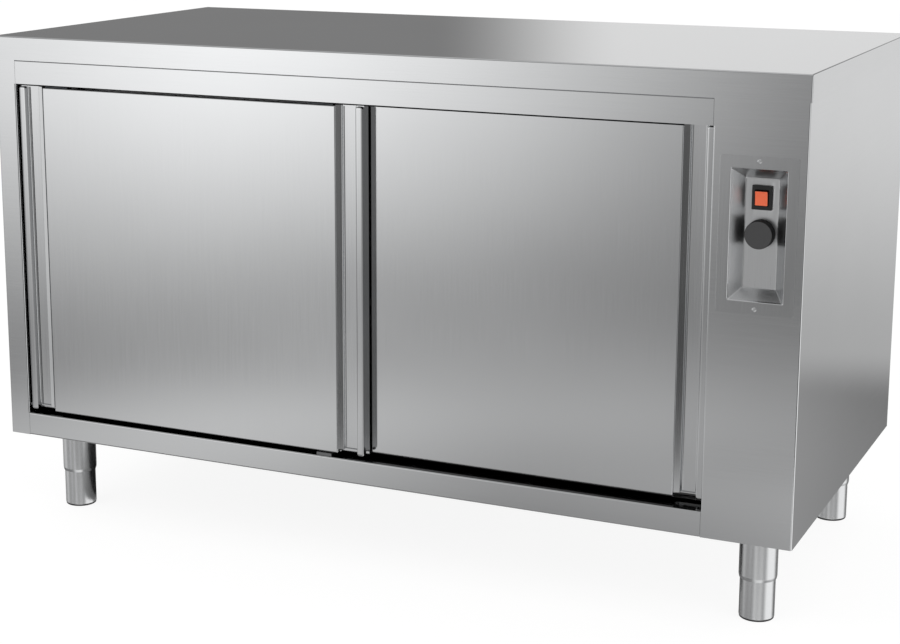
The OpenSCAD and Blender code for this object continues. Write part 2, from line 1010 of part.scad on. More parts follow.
// Thermostat behind the dish, with the bush for the spindle
module thermostat() {
    color("tan")
        translate([ctrl_x, dish_y, control_z])
            difference() {
                union() {
                    block([-22, sheet, -20], [22, 32, 20]);
                    rotate([-90, 0, 0])
                        cylinder(h = sheet + 1, r = spindle_r + 2.3);
                }
                translate([0, -1, 0])
                    rotate([-90, 0, 0])
                        cylinder(h = 28, r = spindle_r + run_fit);
            }
}

// Spindle that joins the knob to the thermostat
module knob_spindle() {
    color("gold")
        translate([ctrl_x, dish_y - knob_h + 2, control_z])
            rotate([-90, 0, 0])
                cylinder(h = knob_h + 22, r = spindle_r);
}

// Round knob with an eased edge
module knob() {
    r = knob_d / 2;
    ease = 1.4;
    color("dimgray")
        translate([ctrl_x, dish_y - 0.6, control_z])
            rotate([90, 0, 0])
                difference() {
                    rotate_extrude() {
                        polygon([[0, 0], [r, 0], [r - 0.4, knob_h - ease],
                            [r - 0.4 - ease, knob_h - ease], [r - 0.4 - ease, knob_h], [0, knob_h]]);
                        intersection() {
                            translate([r - 0.4 - ease, knob_h - ease])
                                circle(ease);
                            square([r + 1, knob_h]);
                        }
                    }
                    translate([0, 0, -1])
                        cylinder(h = knob_h - 1.6, r = spindle_r);
                }
}

// Switch frame and body; the rocker's pins turn in its side walls
module switch_frame() {
    color("black")
        translate([ctrl_x, 0, switch_z])
            difference() {
                union() {
                    translate([0, dish_y, 0])
                        rotate([90, 0, 0])
                            soft_slab(bezel_w, bezel_h, bezel_out, 0.9);
                    block([-bezel_w / 2 + 2.2, dish_y - eps, -bezel_h / 2 + 2.2],
                        [bezel_w / 2 - 2.2, dish_y + 22, bezel_h / 2 - 2.2]);
                }
                block([-rocker_w / 2 - 0.4, dish_y - bezel_out - 1, -rocker_r - 0.5],
                    [rocker_w / 2 + 0.4, dish_y + 14, rocker_r + 0.5]);
                translate([-rocker_w / 2 - 1.8, pivot_y, 0])
                    rotate([0, 90, 0])
                        cylinder(h = rocker_w + 3.6, r = 1.5 + run_fit);
            }
}

// Rocker, drawn tilted to its rest place about the pivot
module switch_rocker() {
    dip = rocker_r - 1;
    color("orangered")
        translate([ctrl_x, pivot_y, switch_z])
            rotate([6, 0, 0]) {
                intersection() {
                    rotate([0, 90, 0])
                        cylinder(h = rocker_w, r = rocker_r, center = true);
                    along_x(-rocker_w / 2, rocker_w / 2)
                        polygon([[-4.6, -dip], [-3.4, 0], [-4.6, dip], [6, dip], [6, -dip]]);
                }
                rotate([0, 90, 0])
                    cylinder(h = rocker_w + 3, r = 1.5, center = true);
            }
}

// Terminal block in the control bay
module terminal_block() {
    x = in_r + sheet;
    color("whitesmoke")
        translate([x, yb - terminal_in, control_z - 320])
            difference() {
                cube([20, 76, 24]);
                for (i = [0 : 5])
                    translate([-1, 7 + i * 12.4, 12])
                        rotate([0, 90, 0])
                            translate([0, 0, 9])
                                cylinder(h = 20, r = 3);
            }
}

gland_x = ctrl_x + 10;
gland_y = 110;
gland_r = 11;
gland_neck_r = 8;
gland_bore = 5;

// Cable entry through the base, with its nut inside
module cable_gland() {
    color("dimgray")
        translate([gland_x, gland_y, leg_h])
            difference() {
                union() {
                    translate([0, 0, -6])
                        cylinder(h = 6 + sheet, r = gland_r, $fn = 6);
                    translate([0, 0, -14])
                        cylinder(h = 9, r = gland_neck_r);
                    cylinder(h = 14, r = gland_neck_r);
                    translate([0, 0, 2 * sheet])
                        cylinder(h = 5, r = gland_r, $fn = 6);
                }
                translate([0, 0, -20])
                    cylinder(h = 40, r = gland_bore);
            }
}

// ---------- legs ----------

// Plates on the base that spread the load, with their nuts
module leg_plates() {
    color("darkgray")
        for (p = legs)
            translate([p.x, p.y, base_top])
                difference() {
                    union() {
                        translate([-45, -45, 0])
                            cube([90, 90, plate_t]);
                        cylinder(h = plate_t + nut_h, r = 11, $fn = 6);
                    }
                    translate([0, 0, -1])
                        cylinder(h = plate_t + nut_h + 2, r = stud_r);
                }
}

// Fixed sleeves of the legs with a tapered end, a guiding collar and a stud
module leg_sleeves() {
    r = sleeve_d / 2;
    rf = foot_d / 2;
    z1 = leg_h + sheet;
    color("silver")
        for (p = legs)
            translate([p.x, p.y, 0]) {
                rotate_extrude()
                    polygon([[rf + run_fit, sleeve_end], [rf + tube_wall * 0.8, sleeve_end],
                        [r, sleeve_end + taper_h], [r, z1], [0, z1], [0, z1 - 4],
                        [r - tube_wall, z1 - 4], [r - tube_wall, sleeve_end + taper_h],
                        [rf + run_fit, sleeve_end + taper_h]]);
                translate([0, 0, z1 - eps])
                    cylinder(h = sheet + plate_t + nut_h + 2, r = stud_r);
            }
}

// Telescopic foot at leg i
module foot(i) {
    rf = foot_d / 2;
    top = leg_h - 14;
    color("silver")
        translate([legs[i].x, legs[i].y, 0])
            rotate_extrude()
                polygon([[0, pad_t], [rf, pad_t], [rf, top], [rf - tube_wall, top],
                    [rf - tube_wall, pad_t + 3], [0, pad_t + 3]]);
}

// Pad under the foot, with an eased edge
module pad(i) {
    rp = foot_d / 2 + 0.2;
    color("black")
        translate([legs[i].x, legs[i].y, 0])
            rotate_extrude()
                polygon([[0, 0], [rp - 1, 0], [rp, 1], [rp, pad_t], [0, pad_t]]);
}

module foot_front_left() {
    foot(0);
}

module foot_front_right() {
    foot(1);
}

module foot_rear_left() {
    foot(2);
}

module foot_rear_right() {
    foot(3);
}

module pad_front_left() {
    pad(0);
}

module pad_front_right() {
    pad(1);
}

module pad_rear_left() {
    pad(2);
}

module pad_rear_right() {
    pad(3);
}

// ---------- nodes ----------

worktop();
worktop_board();
side_left();
side_right();
rear_panel();
base_panel();
top_rail();
bottom_rail();
door_track();
bottom_guide();
liner_left();
partition();
liner_rear();
chamber_floor();
chamber_ceiling();
shelf();
shelf_supports();
insulation();
heater_guard();
heating_element();
fan_motor();
motor_mount();
fan_rotor();
control_plate();
plate_screws();
thermostat();
switch_frame();
switch_rocker();
knob();
knob_spindle();
terminal_block();
cable_gland();
leg_plates();
leg_sleeves();
foot_front_left();
foot_front_right();
foot_rear_left();
foot_rear_right();
pad_front_left();
pad_front_right();
pad_rear_left();
pad_rear_right();
left_door_front();
left_door_back();
left_door_outer_handle();
left_door_inner_handle();
left_door_hangers();
left_roller_outer();
left_roller_inner();
right_door_front();
right_door_back();
right_door_outer_handle();
right_door_inner_handle();
right_door_hangers();
right_roller_outer();
right_roller_inner();
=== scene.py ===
import math

import bmesh
import bpy
import numpy as np
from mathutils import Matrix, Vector


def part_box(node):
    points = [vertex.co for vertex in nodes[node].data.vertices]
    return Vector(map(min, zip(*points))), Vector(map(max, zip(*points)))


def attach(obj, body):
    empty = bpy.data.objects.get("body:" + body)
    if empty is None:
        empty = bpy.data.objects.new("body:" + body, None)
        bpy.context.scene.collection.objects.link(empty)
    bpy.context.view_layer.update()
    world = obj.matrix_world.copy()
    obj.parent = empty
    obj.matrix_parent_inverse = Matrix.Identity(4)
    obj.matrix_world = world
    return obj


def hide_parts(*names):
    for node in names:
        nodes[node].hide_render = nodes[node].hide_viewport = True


# Heated plate cabinet: finishes, finer pressed and turned parts, light and camera
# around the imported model. Metres, floor at z = 0, front towards -Y.
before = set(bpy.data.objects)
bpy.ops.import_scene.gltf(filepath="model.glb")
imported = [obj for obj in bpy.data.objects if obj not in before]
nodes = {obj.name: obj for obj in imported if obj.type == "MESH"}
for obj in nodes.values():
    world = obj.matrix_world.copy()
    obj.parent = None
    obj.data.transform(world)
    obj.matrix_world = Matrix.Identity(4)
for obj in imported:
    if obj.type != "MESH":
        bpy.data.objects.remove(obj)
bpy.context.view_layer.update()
mm = 0.001
print("frame loaded:", len(nodes), "solids")

cameraSetup = {
    "place": (1.30668, -2.96235, 1.14297),
    "turn": 25.158,       # degrees to the left of straight ahead
    "tilt": 11.939,       # degrees down
    "lens": 75.711,       # mm, as is the sensor's width
    "sensor": 36,
    "shift": (0.04553, -0.07),
}


def placeCamera(setup):
    data = bpy.data.cameras.new("camera")
    data.lens = setup["lens"]
    data.sensor_width = setup["sensor"]
    data.shift_x, data.shift_y = setup["shift"]
    camera = bpy.data.objects.new("camera", data)
    camera.location = setup["place"]
    camera.rotation_euler = (math.radians(90 - setup["tilt"]), 0, math.radians(setup["turn"]))
    bpy.context.scene.collection.objects.link(camera)
    bpy.context.scene.camera = camera


placeCamera(cameraSetup)
print("camera placed")


def linear(hexText):
    # sRGB hex to linear RGBA
    srgb = np.array([int(hexText[i:i + 2], 16) for i in (0, 2, 4)]) / 255
    value = np.where(srgb <= 0.04045, srgb / 12.92, ((srgb + 0.055) / 1.055) ** 2.4)
    return (*value.tolist(), 1.0)


def perMm(*size):
    # pattern scale from the size of one feature in millimetres
    return tuple(1 / (s * mm) for s in size)


def addNode(tree, kind, inputs=(), out=0, **settings):
    # A node with its settings: an input that is a socket is linked, any other is a value.
    # A Mix node has its factor at 0, numbers at 2 and 3, colours at 6 and 7, and gives the
    # number at 0 and the colour at 2.
    node = tree.nodes.new("ShaderNode" + kind)
    for key, value in settings.items():
        setattr(node, key, value)
    for key, value in inputs.items() if isinstance(inputs, dict) else enumerate(inputs):
        if isinstance(value, bpy.types.NodeSocket):
            tree.links.new(value, node.inputs[key])
        else:
            node.inputs[key].default_value = value
    return node.outputs[out] if node.outputs else node


def newMaterial(name):
    material = bpy.data.materials.new(name)
    material.use_nodes = True
    material.node_tree.nodes.clear()
    return material, material.node_tree


def paint(material, *names):
    for name in names:
        for slot in nodes[name].material_slots:
            slot.material = material


noiseSpan = (0.3, 0.7)          # a noise stays mostly between these
twoNoisesSpan = (0.7, 1.3)      # and the sum of two between these
wipedSize = (260, 260, 190)     # clouds in mm that wiping leaves on polished steel


def brushedSteel(name, look):
    # AISI 304 sheet, belt-ground: long fine scratches that drag each reflection out across
    # the grain. The real pitch of 0.1 mm is too fine to show, so it is drawn at look["pitch"].
    material, tree = newMaterial(name)
    point = addNode(tree, "TexCoord", out="Object")
    length, pitch = look["length"], look["pitch"]
    along = {"x": (length, pitch, pitch), "y": (pitch, length, pitch),
             "z": (pitch, pitch, length), "ring": (length, length, pitch)}
    place = addNode(tree, "Mapping", {"Vector": point, "Scale": perMm(*along[look["grain"]])})
    scratch = addNode(tree, "TexNoise", {"Vector": place, "Scale": 1.0, "Detail": 3.0,
                      "Roughness": 0.6})
    if "sideGrain" in look:     # faces that look sideways are ground the other way
        way = addNode(tree, "SeparateXYZ", [addNode(tree, "TexCoord", out="Normal")])
        facing = addNode(tree, "Math", [way], operation="ABSOLUTE")
        pick = addNode(tree, "Math", [facing, 0.7], operation="GREATER_THAN")
        place = addNode(tree, "Mapping", {"Vector": point,
                        "Scale": perMm(*along[look["sideGrain"]])})
        other = addNode(tree, "TexNoise", {"Vector": place, "Scale": 1.0, "Detail": 3.0,
                        "Roughness": 0.6})
        scratch = addNode(tree, "Mix", {0: pick, 2: scratch, 3: other})
    place = addNode(tree, "Mapping", {"Vector": point, "Scale": perMm(*wipedSize)})
    wiped = addNode(tree, "TexNoise", {"Vector": place, "Scale": 1.0, "Detail": 2.0})
    tone = addNode(tree, "Math", [scratch, wiped], operation="ADD")
    share = addNode(tree, "MapRange", [tone, *twoNoisesSpan, 0.0, 1.0])
    colour = addNode(tree, "Mix", {0: share, 6: linear(look["dark"]), 7: linear(look["light"])},
                     2, data_type="RGBA")
    if "top" in look:           # painted shade: the upper face is painted dark, for the shadow on the rail's top under the doors
        way = addNode(tree, "SeparateXYZ", [addNode(tree, "TexCoord", out="Normal")], 2)
        upper = addNode(tree, "MapRange", [way, 0.7, 0.9, 0.0, 1.0])
        colour = addNode(tree, "Mix", {0: upper, 6: colour, 7: linear(look["top"])}, 2,
                         data_type="RGBA")
    vary = look["roughVary"]
    fine = addNode(tree, "MapRange", [scratch, *noiseSpan, look["rough"] - vary,
                   look["rough"] + vary])
    worn = addNode(tree, "MapRange", [wiped, *noiseSpan, -0.5 * vary, 0.5 * vary])
    rough = addNode(tree, "Math", [fine, worn], operation="ADD")
    if "drawn" in look:         # from y = start to y = full mm the stretched sheet grows duller
        start, full, more = look["drawn"]
        deep = addNode(tree, "SeparateXYZ", [point], 1)
        dull = addNode(tree, "MapRange", [deep, start * mm, full * mm, 0.0, more])
        rough = addNode(tree, "Math", [rough, dull], operation="ADD")
    bump = addNode(tree, "Bump", {"Height": scratch, "Strength": look["bump"],
                   "Distance": look["depth"] * mm})
    shader = addNode(tree, "BsdfPrincipled", {"Base Color": colour, "Roughness": rough,
                     "Normal": bump, "Metallic": 1.0})
    addNode(tree, "OutputMaterial", {"Surface": shader})
    return material


# grain is the way the scratches run; their length, pitch and depth are in mm
steelLooks = {
    "worktopBrushed304": {"grain": "x", "sideGrain": "y", "length": 90, "pitch": 1.1,
                          "dark": "DDDEDF", "light": "E3E4E5", "rough": 0.1,
                          "roughVary": 0.012, "bump": 0.12, "depth": 0.01},
    "bodyBrushed304": {"grain": "x", "sideGrain": "y", "length": 90, "pitch": 1.1,
                       "dark": "DEDFE0", "light": "E3E4E5", "rough": 0.09,
                       "roughVary": 0.012, "bump": 0.12, "depth": 0.01},
    # top: painted shade, the rail's upper face painted dark
    "railBrushed304PaintedShadeTop": {"grain": "x", "length": 90, "pitch": 1.1, "top": "3A3A3A",
                       "dark": "DEDFE0", "light": "E3E4E5", "rough": 0.09,
                       "roughVary": 0.012, "bump": 0.12, "depth": 0.01},
    "doorBrushed304": {"grain": "z", "length": 90, "pitch": 1.1,
                       "dark": "DFE0E1", "light": "E3E4E5", "rough": 0.09,
                       "roughVary": 0.012, "bump": 0.1, "depth": 0.01},
    "handleDrawn304": {"grain": "z", "length": 120, "pitch": 0.8,
                       "dark": "D8D9DA", "light": "E0E1E2", "rough": 0.1,
                       "roughVary": 0.02, "bump": 0.12, "depth": 0.01},
    "legTube304": {"grain": "ring", "length": 60, "pitch": 1.2,
                   "dark": "E2E3E4", "light": "E8E9EA", "rough": 0.25,
                   "roughVary": 0.015, "bump": 0.06, "depth": 0.006},
    "dishPressed304": {"grain": "z", "length": 60, "pitch": 0.8,
                       "dark": "D6D7D8", "light": "DEDFE0", "rough": 0.1,
                       "drawn": (-348.4, -346, 0.19),
                       "roughVary": 0.015, "bump": 0.08, "depth": 0.01},
    "guideSatin304": {"grain": "x", "length": 20, "pitch": 0.6,
                      "dark": "8E8F90", "light": "9A9B9C", "rough": 0.4,
                      "roughVary": 0.05, "bump": 0.3, "depth": 0.01},
    "screwTurned304": {"grain": "ring", "length": 4, "pitch": 0.3,
                       "dark": "E2E3E4", "light": "ECEDEE", "rough": 0.16,
                       "roughVary": 0.03, "bump": 0.2, "depth": 0.004},
}
steels = {name: brushedSteel(name, look) for name, look in steelLooks.items()}


def millSteel(name, look):
    # cold-rolled 2B sheet of the lining: not ground, a dull even sheen with faint roll
    # clouds; its pits scatter a part of the light, so the chamber isn't black inside
    material, tree = newMaterial(name)
    point = addNode(tree, "TexCoord", out="Object")
    place = addNode(tree, "Mapping", {"Vector": point, "Scale": perMm(*look["cloud"])})
    cloud = addNode(tree, "TexNoise", {"Vector": place, "Scale": 1.0, "Detail": 4.0})
    pit = addNode(tree, "TexNoise", {"Vector": point, "Scale": perMm(look["pit"])[0],
                  "Detail": 2.0})
    share = addNode(tree, "MapRange", [cloud, *noiseSpan, 0.0, 1.0])
    colour = addNode(tree, "Mix", {0: share, 6: linear(look["dark"]), 7: linear(look["light"])},
                     2, data_type="RGBA")
    rough = addNode(tree, "MapRange", [cloud, *noiseSpan, *look["rough"]])
    bump = addNode(tree, "Bump", {"Height": pit, "Strength": look["bump"],
                   "Distance": look["depth"] * mm})
    shader = addNode(tree, "BsdfPrincipled", {"Base Color": colour, "Roughness": rough,
                     "Normal": bump, "Metallic": look["metallic"]})
    addNode(tree, "OutputMaterial", {"Surface": shader})
    return material


def zincPlated(name, look):
    # zinc-plated, passivated steel: its dark tone is partly the zinc's own grey and partly
    # painted shade, so the gaps round the track and hangers stay dark. Small crystal flowers
    # that differ a little in tone and gloss.
    material, tree = newMaterial(name)
    point = addNode(tree, "TexCoord", out="Object")
    flower = addNode(tree, "TexVoronoi", {"Vector": point, "Scale": perMm(look["flower"])[0]},
                     "Color")
    cell = addNode(tree, "SeparateXYZ", [flower])
    colour = addNode(tree, "Mix", {0: cell, 6: linear(look["dark"]), 7: linear(look["light"])},
                     2, data_type="RGBA")
    rough = addNode(tree, "MapRange", [cell, 0.0, 1.0, *look["rough"]])
    shader = addNode(tree, "BsdfPrincipled", {"Base Color": colour, "Roughness": rough,
                     "Metallic": 1.0})
    addNode(tree, "OutputMaterial", {"Surface": shader})
    return material


def oxidisedSheath(name, look):
    # heater tube of nickel steel after many hours of heat: brown-black oxide with blue tints
    material, tree = newMaterial(name)
    point = addNode(tree, "TexCoord", out="Object")
    heat = addNode(tree, "TexNoise", {"Vector": point, "Scale": perMm(look["tint"])[0],
                   "Detail": 3.0})
    crust = addNode(tree, "TexNoise", {"Vector": point, "Scale": perMm(look["crust"])[0],
                    "Detail": 3.0})
    share = addNode(tree, "MapRange", [heat, *noiseSpan, 0.0, 1.0])
    colour = addNode(tree, "Mix", {0: share, 6: linear(look["brown"]), 7: linear(look["blue"])},
                     2, data_type="RGBA")
    rough = addNode(tree, "MapRange", [crust, *noiseSpan, *look["rough"]])
    bump = addNode(tree, "Bump", {"Height": crust, "Strength": look["bump"],
                   "Distance": look["depth"] * mm})
    shader = addNode(tree, "BsdfPrincipled", {"Base Color": colour, "Roughness": rough,
                     "Normal": bump, "Metallic": look["metallic"]})
    addNode(tree, "OutputMaterial", {"Surface": shader})
    return material


def turnedMetal(name, look):
    # turned or pressed soft metal: fine rings, look["rings"] mm apart, on a bright ground
    material, tree = newMaterial(name)
    point = addNode(tree, "TexCoord", out="Object")
    place = addNode(tree, "Mapping", {"Vector": point, "Scale": perMm(*look["rings"])})
    rings = addNode(tree, "TexNoise", {"Vector": place, "Scale": 1.0, "Detail": 2.0})
    share = addNode(tree, "MapRange", [rings, *noiseSpan, 0.0, 1.0])
    colour = addNode(tree, "Mix", {0: share, 6: linear(look["dark"]), 7: linear(look["light"])},
                     2, data_type="RGBA")
    rough = addNode(tree, "MapRange", [rings, *noiseSpan, *look["rough"]])
    shader = addNode(tree, "BsdfPrincipled", {"Base Color": colour, "Roughness": rough,
                     "Metallic": 1.0})
    addNode(tree, "OutputMaterial", {"Surface": shader})
    return material


mill = millSteel("liningMill304", {"dark": "C6C7C8", "light": "D3D4D5", "rough": (0.31, 0.41),
                                   "metallic": 0.7, "cloud": (150, 150, 60), "pit": 1.5,
                                   "bump": 0.15, "depth": 0.01})
# dark and light: partly painted shade, darker than plated zinc so the gap above the doors reads
# dark
zinc = zincPlated("trackZincPlated", {"dark": "4E5154", "light": "63666A",
                                      "rough": (0.39, 0.51), "flower": 5})
sheath = oxidisedSheath("heaterSheathOxide", {"brown": "4A3F38", "blue": "4C515C",
                                              "rough": (0.4, 0.65), "metallic": 0.8,
                                              "tint": 30, "crust": 2, "bump": 0.3,
                                              "depth": 0.05})
aluminium = turnedMetal("fanWheelAluminium", {"dark": "C9CBCC", "light": "DADBDC",
                                              "rough": (0.28, 0.4), "rings": (0.4, 40, 40)})
brass = turnedMetal("spindleTurnedBrass", {"dark": "C9A765", "light": "DCBE7E",
                                           "rough": (0.24, 0.36), "rings": (40, 0.4, 40)})
print("metals made")


moulding = {
    "cloud": 22, "depth": 0.03, "roughVary": 0.06,      # mm: flow clouds, depth of the grain
    "lightReach": (0.004, 0.001, 0.0005), "reachScale": 0.3,
}


def mouldedPlastic(name, look):
    # moulded part: spark-eroded grain of look["grain"] mm breaks the gloss up. Where a face
    # colour is given, it is for what looks forward, and the sides stay darker: on the knob a
    # real two-tone part, on the rocker painted shade on its sides.
    material, tree = newMaterial(name)
    point = addNode(tree, "TexCoord", out="Object")
    grain = addNode(tree, "TexNoise", {"Vector": point, "Scale": perMm(look["grain"])[0],
                    "Detail": 2.0})
    cloud = addNode(tree, "TexNoise", {"Vector": point, "Scale": perMm(moulding["cloud"])[0],
                    "Detail": 2.0})
    share = addNode(tree, "MapRange", [cloud, *noiseSpan, 0.0, 1.0])
    colour = addNode(tree, "Mix", {0: share, 6: linear(look["dark"]), 7: linear(look["light"])},
                     2, data_type="RGBA")
    # darker sides: painted shade on the rocker, the knob's own black plastic on the knob
    if "face" in look:
        way = addNode(tree, "SeparateXYZ", [addNode(tree, "TexCoord", out="Normal")], 1)
        front = addNode(tree, "MapRange", [way, -0.75, -0.95, 0.0, 1.0])
        colour = addNode(tree, "Mix", {0: front, 6: colour, 7: linear(look["face"])}, 2,
                         data_type="RGBA")
    vary = moulding["roughVary"]
    rough = addNode(tree, "MapRange", [grain, *noiseSpan, look["rough"] - vary,
                    look["rough"] + vary])
    bump = addNode(tree, "Bump", {"Height": grain, "Strength": look["bump"],
                   "Distance": moulding["depth"] * mm})
    through = look.get("through", 0.0)      # a little light passes through a coloured lens
    shader = addNode(tree, "BsdfPrincipled", {"Base Color": colour, "Roughness": rough,
                     "Normal": bump, "IOR": look["ior"], "Subsurface Weight": through,
                     "Subsurface Radius": moulding["lightReach"],
                     "Subsurface Scale": moulding["reachScale"]})
    addNode(tree, "OutputMaterial", {"Surface": shader})
    return material


plasticLooks = {
    "thermostatCeramic": {"dark": "D8D0BC", "light": "E2DBC9", "rough": 0.5,
                          "grain": 0.8, "bump": 0.2, "ior": 1.5},
    "switchPolyamideBlack": {"dark": "141516", "light": "1B1C1D", "rough": 0.4,
                             "grain": 0.4, "bump": 0.25, "ior": 1.53},
    # dark and light: painted shade on the rocker's sides; the orange face is its own colour
    "rockerPolycarbonate": {"dark": "36160F", "light": "421B12", "face": "E8683F", "rough": 0.3,
                            "grain": 0.5, "bump": 0.08, "ior": 1.58, "through": 0.1},
    "knobPhenolic": {"dark": "050505", "light": "0A0A0A", "face": "414142", "rough": 0.66,
                     "grain": 0.4, "bump": 0.25, "ior": 1.42},
    "glandPolyamide": {"dark": "26282A", "light": "303234", "rough": 0.48,
                       "grain": 0.6, "bump": 0.25, "ior": 1.53},
    "padPolyethylene": {"dark": "2A2A2B", "light": "343435", "rough": 0.55,
                        "grain": 0.8, "bump": 0.3, "ior": 1.51},
    "rollerNylon": {"dark": "BDBBB2", "light": "C9C7BE", "rough": 0.45,
                    "grain": 0.5, "bump": 0.15, "ior": 1.53},
}
plastics = {name: mouldedPlastic(name, look) for name, look in plasticLooks.items()}


def stovedPaint(name, look):
    # stoved enamel on the cast motor: a slight orange peel
    material, tree = newMaterial(name)
    point = addNode(tree, "TexCoord", out="Object")
    peel = addNode(tree, "TexNoise", {"Vector": point, "Scale": perMm(look["peel"])[0],
                   "Detail": 2.0})
    cloud = addNode(tree, "TexNoise", {"Vector": point, "Scale": perMm(look["cloud"])[0],
                    "Detail": 2.0})
    share = addNode(tree, "MapRange", [cloud, *noiseSpan, 0.0, 1.0])
    colour = addNode(tree, "Mix", {0: share, 6: linear(look["dark"]), 7: linear(look["light"])},
                     2, data_type="RGBA")
    rough = addNode(tree, "MapRange", [cloud, *noiseSpan, *look["rough"]])
    bump = addNode(tree, "Bump", {"Height": peel, "Strength": look["bump"],
                   "Distance": look["depth"] * mm})
    shader = addNode(tree, "BsdfPrincipled", {"Base Color": colour, "Roughness": rough,
                     "Normal": bump})
    addNode(tree, "OutputMaterial", {"Surface": shader})
    return material


def mineralWool(name, look):
    # pressed mineral wool: layered fibres, matt, with darker gaps between the layers
    material, tree = newMaterial(name)
    point = addNode(tree, "TexCoord", out="Object")
    place = addNode(tree, "Mapping", {"Vector": point, "Scale": perMm(*look["fibre"])})
    fibre = addNode(tree, "TexNoise", {"Vector": place, "Scale": 1.0, "Detail": 5.0,
                    "Roughness": 0.7})
    share = addNode(tree, "MapRange", [fibre, *noiseSpan, 0.0, 1.0])
    colour = addNode(tree, "Mix", {0: share, 6: linear(look["dark"]), 7: linear(look["light"])},
                     2, data_type="RGBA")
    bump = addNode(tree, "Bump", {"Height": fibre, "Strength": look["bump"],
                   "Distance": look["depth"] * mm})
    shader = addNode(tree, "BsdfPrincipled", {"Base Color": colour, "Roughness": look["rough"],
                     "Normal": bump})
    addNode(tree, "OutputMaterial", {"Surface": shader})
    return material


def chipBoard(name, look):
    # raw particle board: flat chips in several browns
    material, tree = newMaterial(name)
    point = addNode(tree, "TexCoord", out="Object")
    place = addNode(tree, "Mapping", {"Vector": point, "Scale": perMm(*look["chip"])})
    chip = addNode(tree, "TexVoronoi", {"Vector": place, "Scale": 1.0}, "Color")
    tint = addNode(tree, "SeparateXYZ", [chip])
    colour = addNode(tree, "Mix", {0: tint, 6: linear(look["dark"]), 7: linear(look["light"])},
                     2, data_type="RGBA")
    bump = addNode(tree, "Bump", {"Height": chip.node.outputs["Distance"],
                   "Strength": look["bump"], "Distance": look["depth"] * mm})
    shader = addNode(tree, "BsdfPrincipled", {"Base Color": colour, "Roughness": look["rough"],
                     "Normal": bump})
    addNode(tree, "OutputMaterial", {"Surface": shader})
    return material


enamel = stovedPaint("motorStovedEnamel", {"dark": "37393B", "light": "424547",
                                           "rough": (0.32, 0.44), "peel": 1.5, "cloud": 40,
                                           "bump": 0.3, "depth": 0.06})
wool = mineralWool("pressedMineralWool", {"dark": "9C8C58", "light": "CDBE8A", "rough": 0.95,
                                          "fibre": (9, 9, 1.4), "bump": 0.8, "depth": 1.2})
board = chipBoard("rawChipboard", {"dark": "A37F55", "light": "CFB084", "rough": 0.8,
                                   "chip": (7, 4, 2), "bump": 0.4, "depth": 0.2})
print("plastics, wool and board made")

# finishes on the solids that stay
paint(steels["worktopBrushed304"], "worktop")
paint(steels["bodyBrushed304"], "side_left", "side_right", "rear_panel", "base_panel",
      "top_rail")
paint(steels["railBrushed304PaintedShadeTop"], "bottom_rail")
paint(steels["doorBrushed304"], "left_door_front", "left_door_back", "right_door_front",
      "right_door_back")
paint(steels["guideSatin304"], "bottom_guide")
paint(mill, "liner_left", "partition", "liner_rear", "chamber_floor", "chamber_ceiling",
      "shelf", "shelf_supports", "heater_guard")
paint(zinc, "door_track", "motor_mount", "leg_plates", "left_door_hangers",
      "right_door_hangers")
paint(sheath, "heating_element")
paint(aluminium, "fan_rotor")
paint(brass, "knob_spindle")
paint(enamel, "fan_motor")
paint(wool, "insulation")
paint(board, "worktop_board")
paint(plastics["thermostatCeramic"], "thermostat", "terminal_block")
paint(plastics["glandPolyamide"], "cable_gland")
paint(plastics["rollerNylon"], "left_roller_outer", "left_roller_inner",
      "right_roller_outer", "right_roller_inner")
print("solids finished")


def nodeBox(name):
    # lowest and highest corner of a CAD solid at rest, in mm
    low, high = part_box(name)
    return np.array(low) / mm, np.array(high) / mm


def surfacePiece(name, grids, material, body, replaced, sharp=40):
    # Grids of points in mm, rows by columns: each cell becomes a face, and edges that meet
    # are joined. Edges that bend by more than sharp degrees stay sharp.
    points, faces, start = [], [], 0
    for grid in grids:
        rows, columns = grid.shape[:2]
        index = np.arange(rows * columns).reshape(rows, columns) + start
        cells = np.stack([index[:-1, :-1], index[:-1, 1:], index[1:, 1:], index[1:, :-1]], -1)
        points.append(grid.reshape(-1, 3))
        faces.append(cells.reshape(-1, 4))
        start += rows * columns
    points = np.concatenate(points) * mm
    faces = np.concatenate(faces)
    mesh = bpy.data.meshes.new(name)
    mesh.vertices.add(len(points))
    mesh.vertices.foreach_set("co", points.astype(np.float32).ravel())
    mesh.loops.add(faces.size)
    mesh.loops.foreach_set("vertex_index", faces.astype(np.int32).ravel())
    mesh.polygons.add(len(faces))
    mesh.polygons.foreach_set("loop_start", np.arange(0, faces.size, 4, dtype=np.int32))
    mesh.update(calc_edges=True)
    mesh.validate()
    work = bmesh.new()
    work.from_mesh(mesh)
    bmesh.ops.remove_doubles(work, verts=work.verts, dist=0.002 * mm)
    bmesh.ops.recalc_face_normals(work, faces=work.faces)
    work.to_mesh(mesh)
    work.free()
    mesh.polygons.foreach_set("use_smooth", np.ones(len(mesh.polygons), bool))
    mesh.set_sharp_from_angle(angle=math.radians(sharp))
    mesh.materials.append(material)
    piece = bpy.data.objects.new(name, mesh)
    bpy.context.scene.collection.objects.link(piece)
    weights = piece.modifiers.new("flat faces stay flat", "WEIGHTED_NORMAL")
    weights.keep_sharp = True
    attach(piece, body)
    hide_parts(*replaced)
    return piece


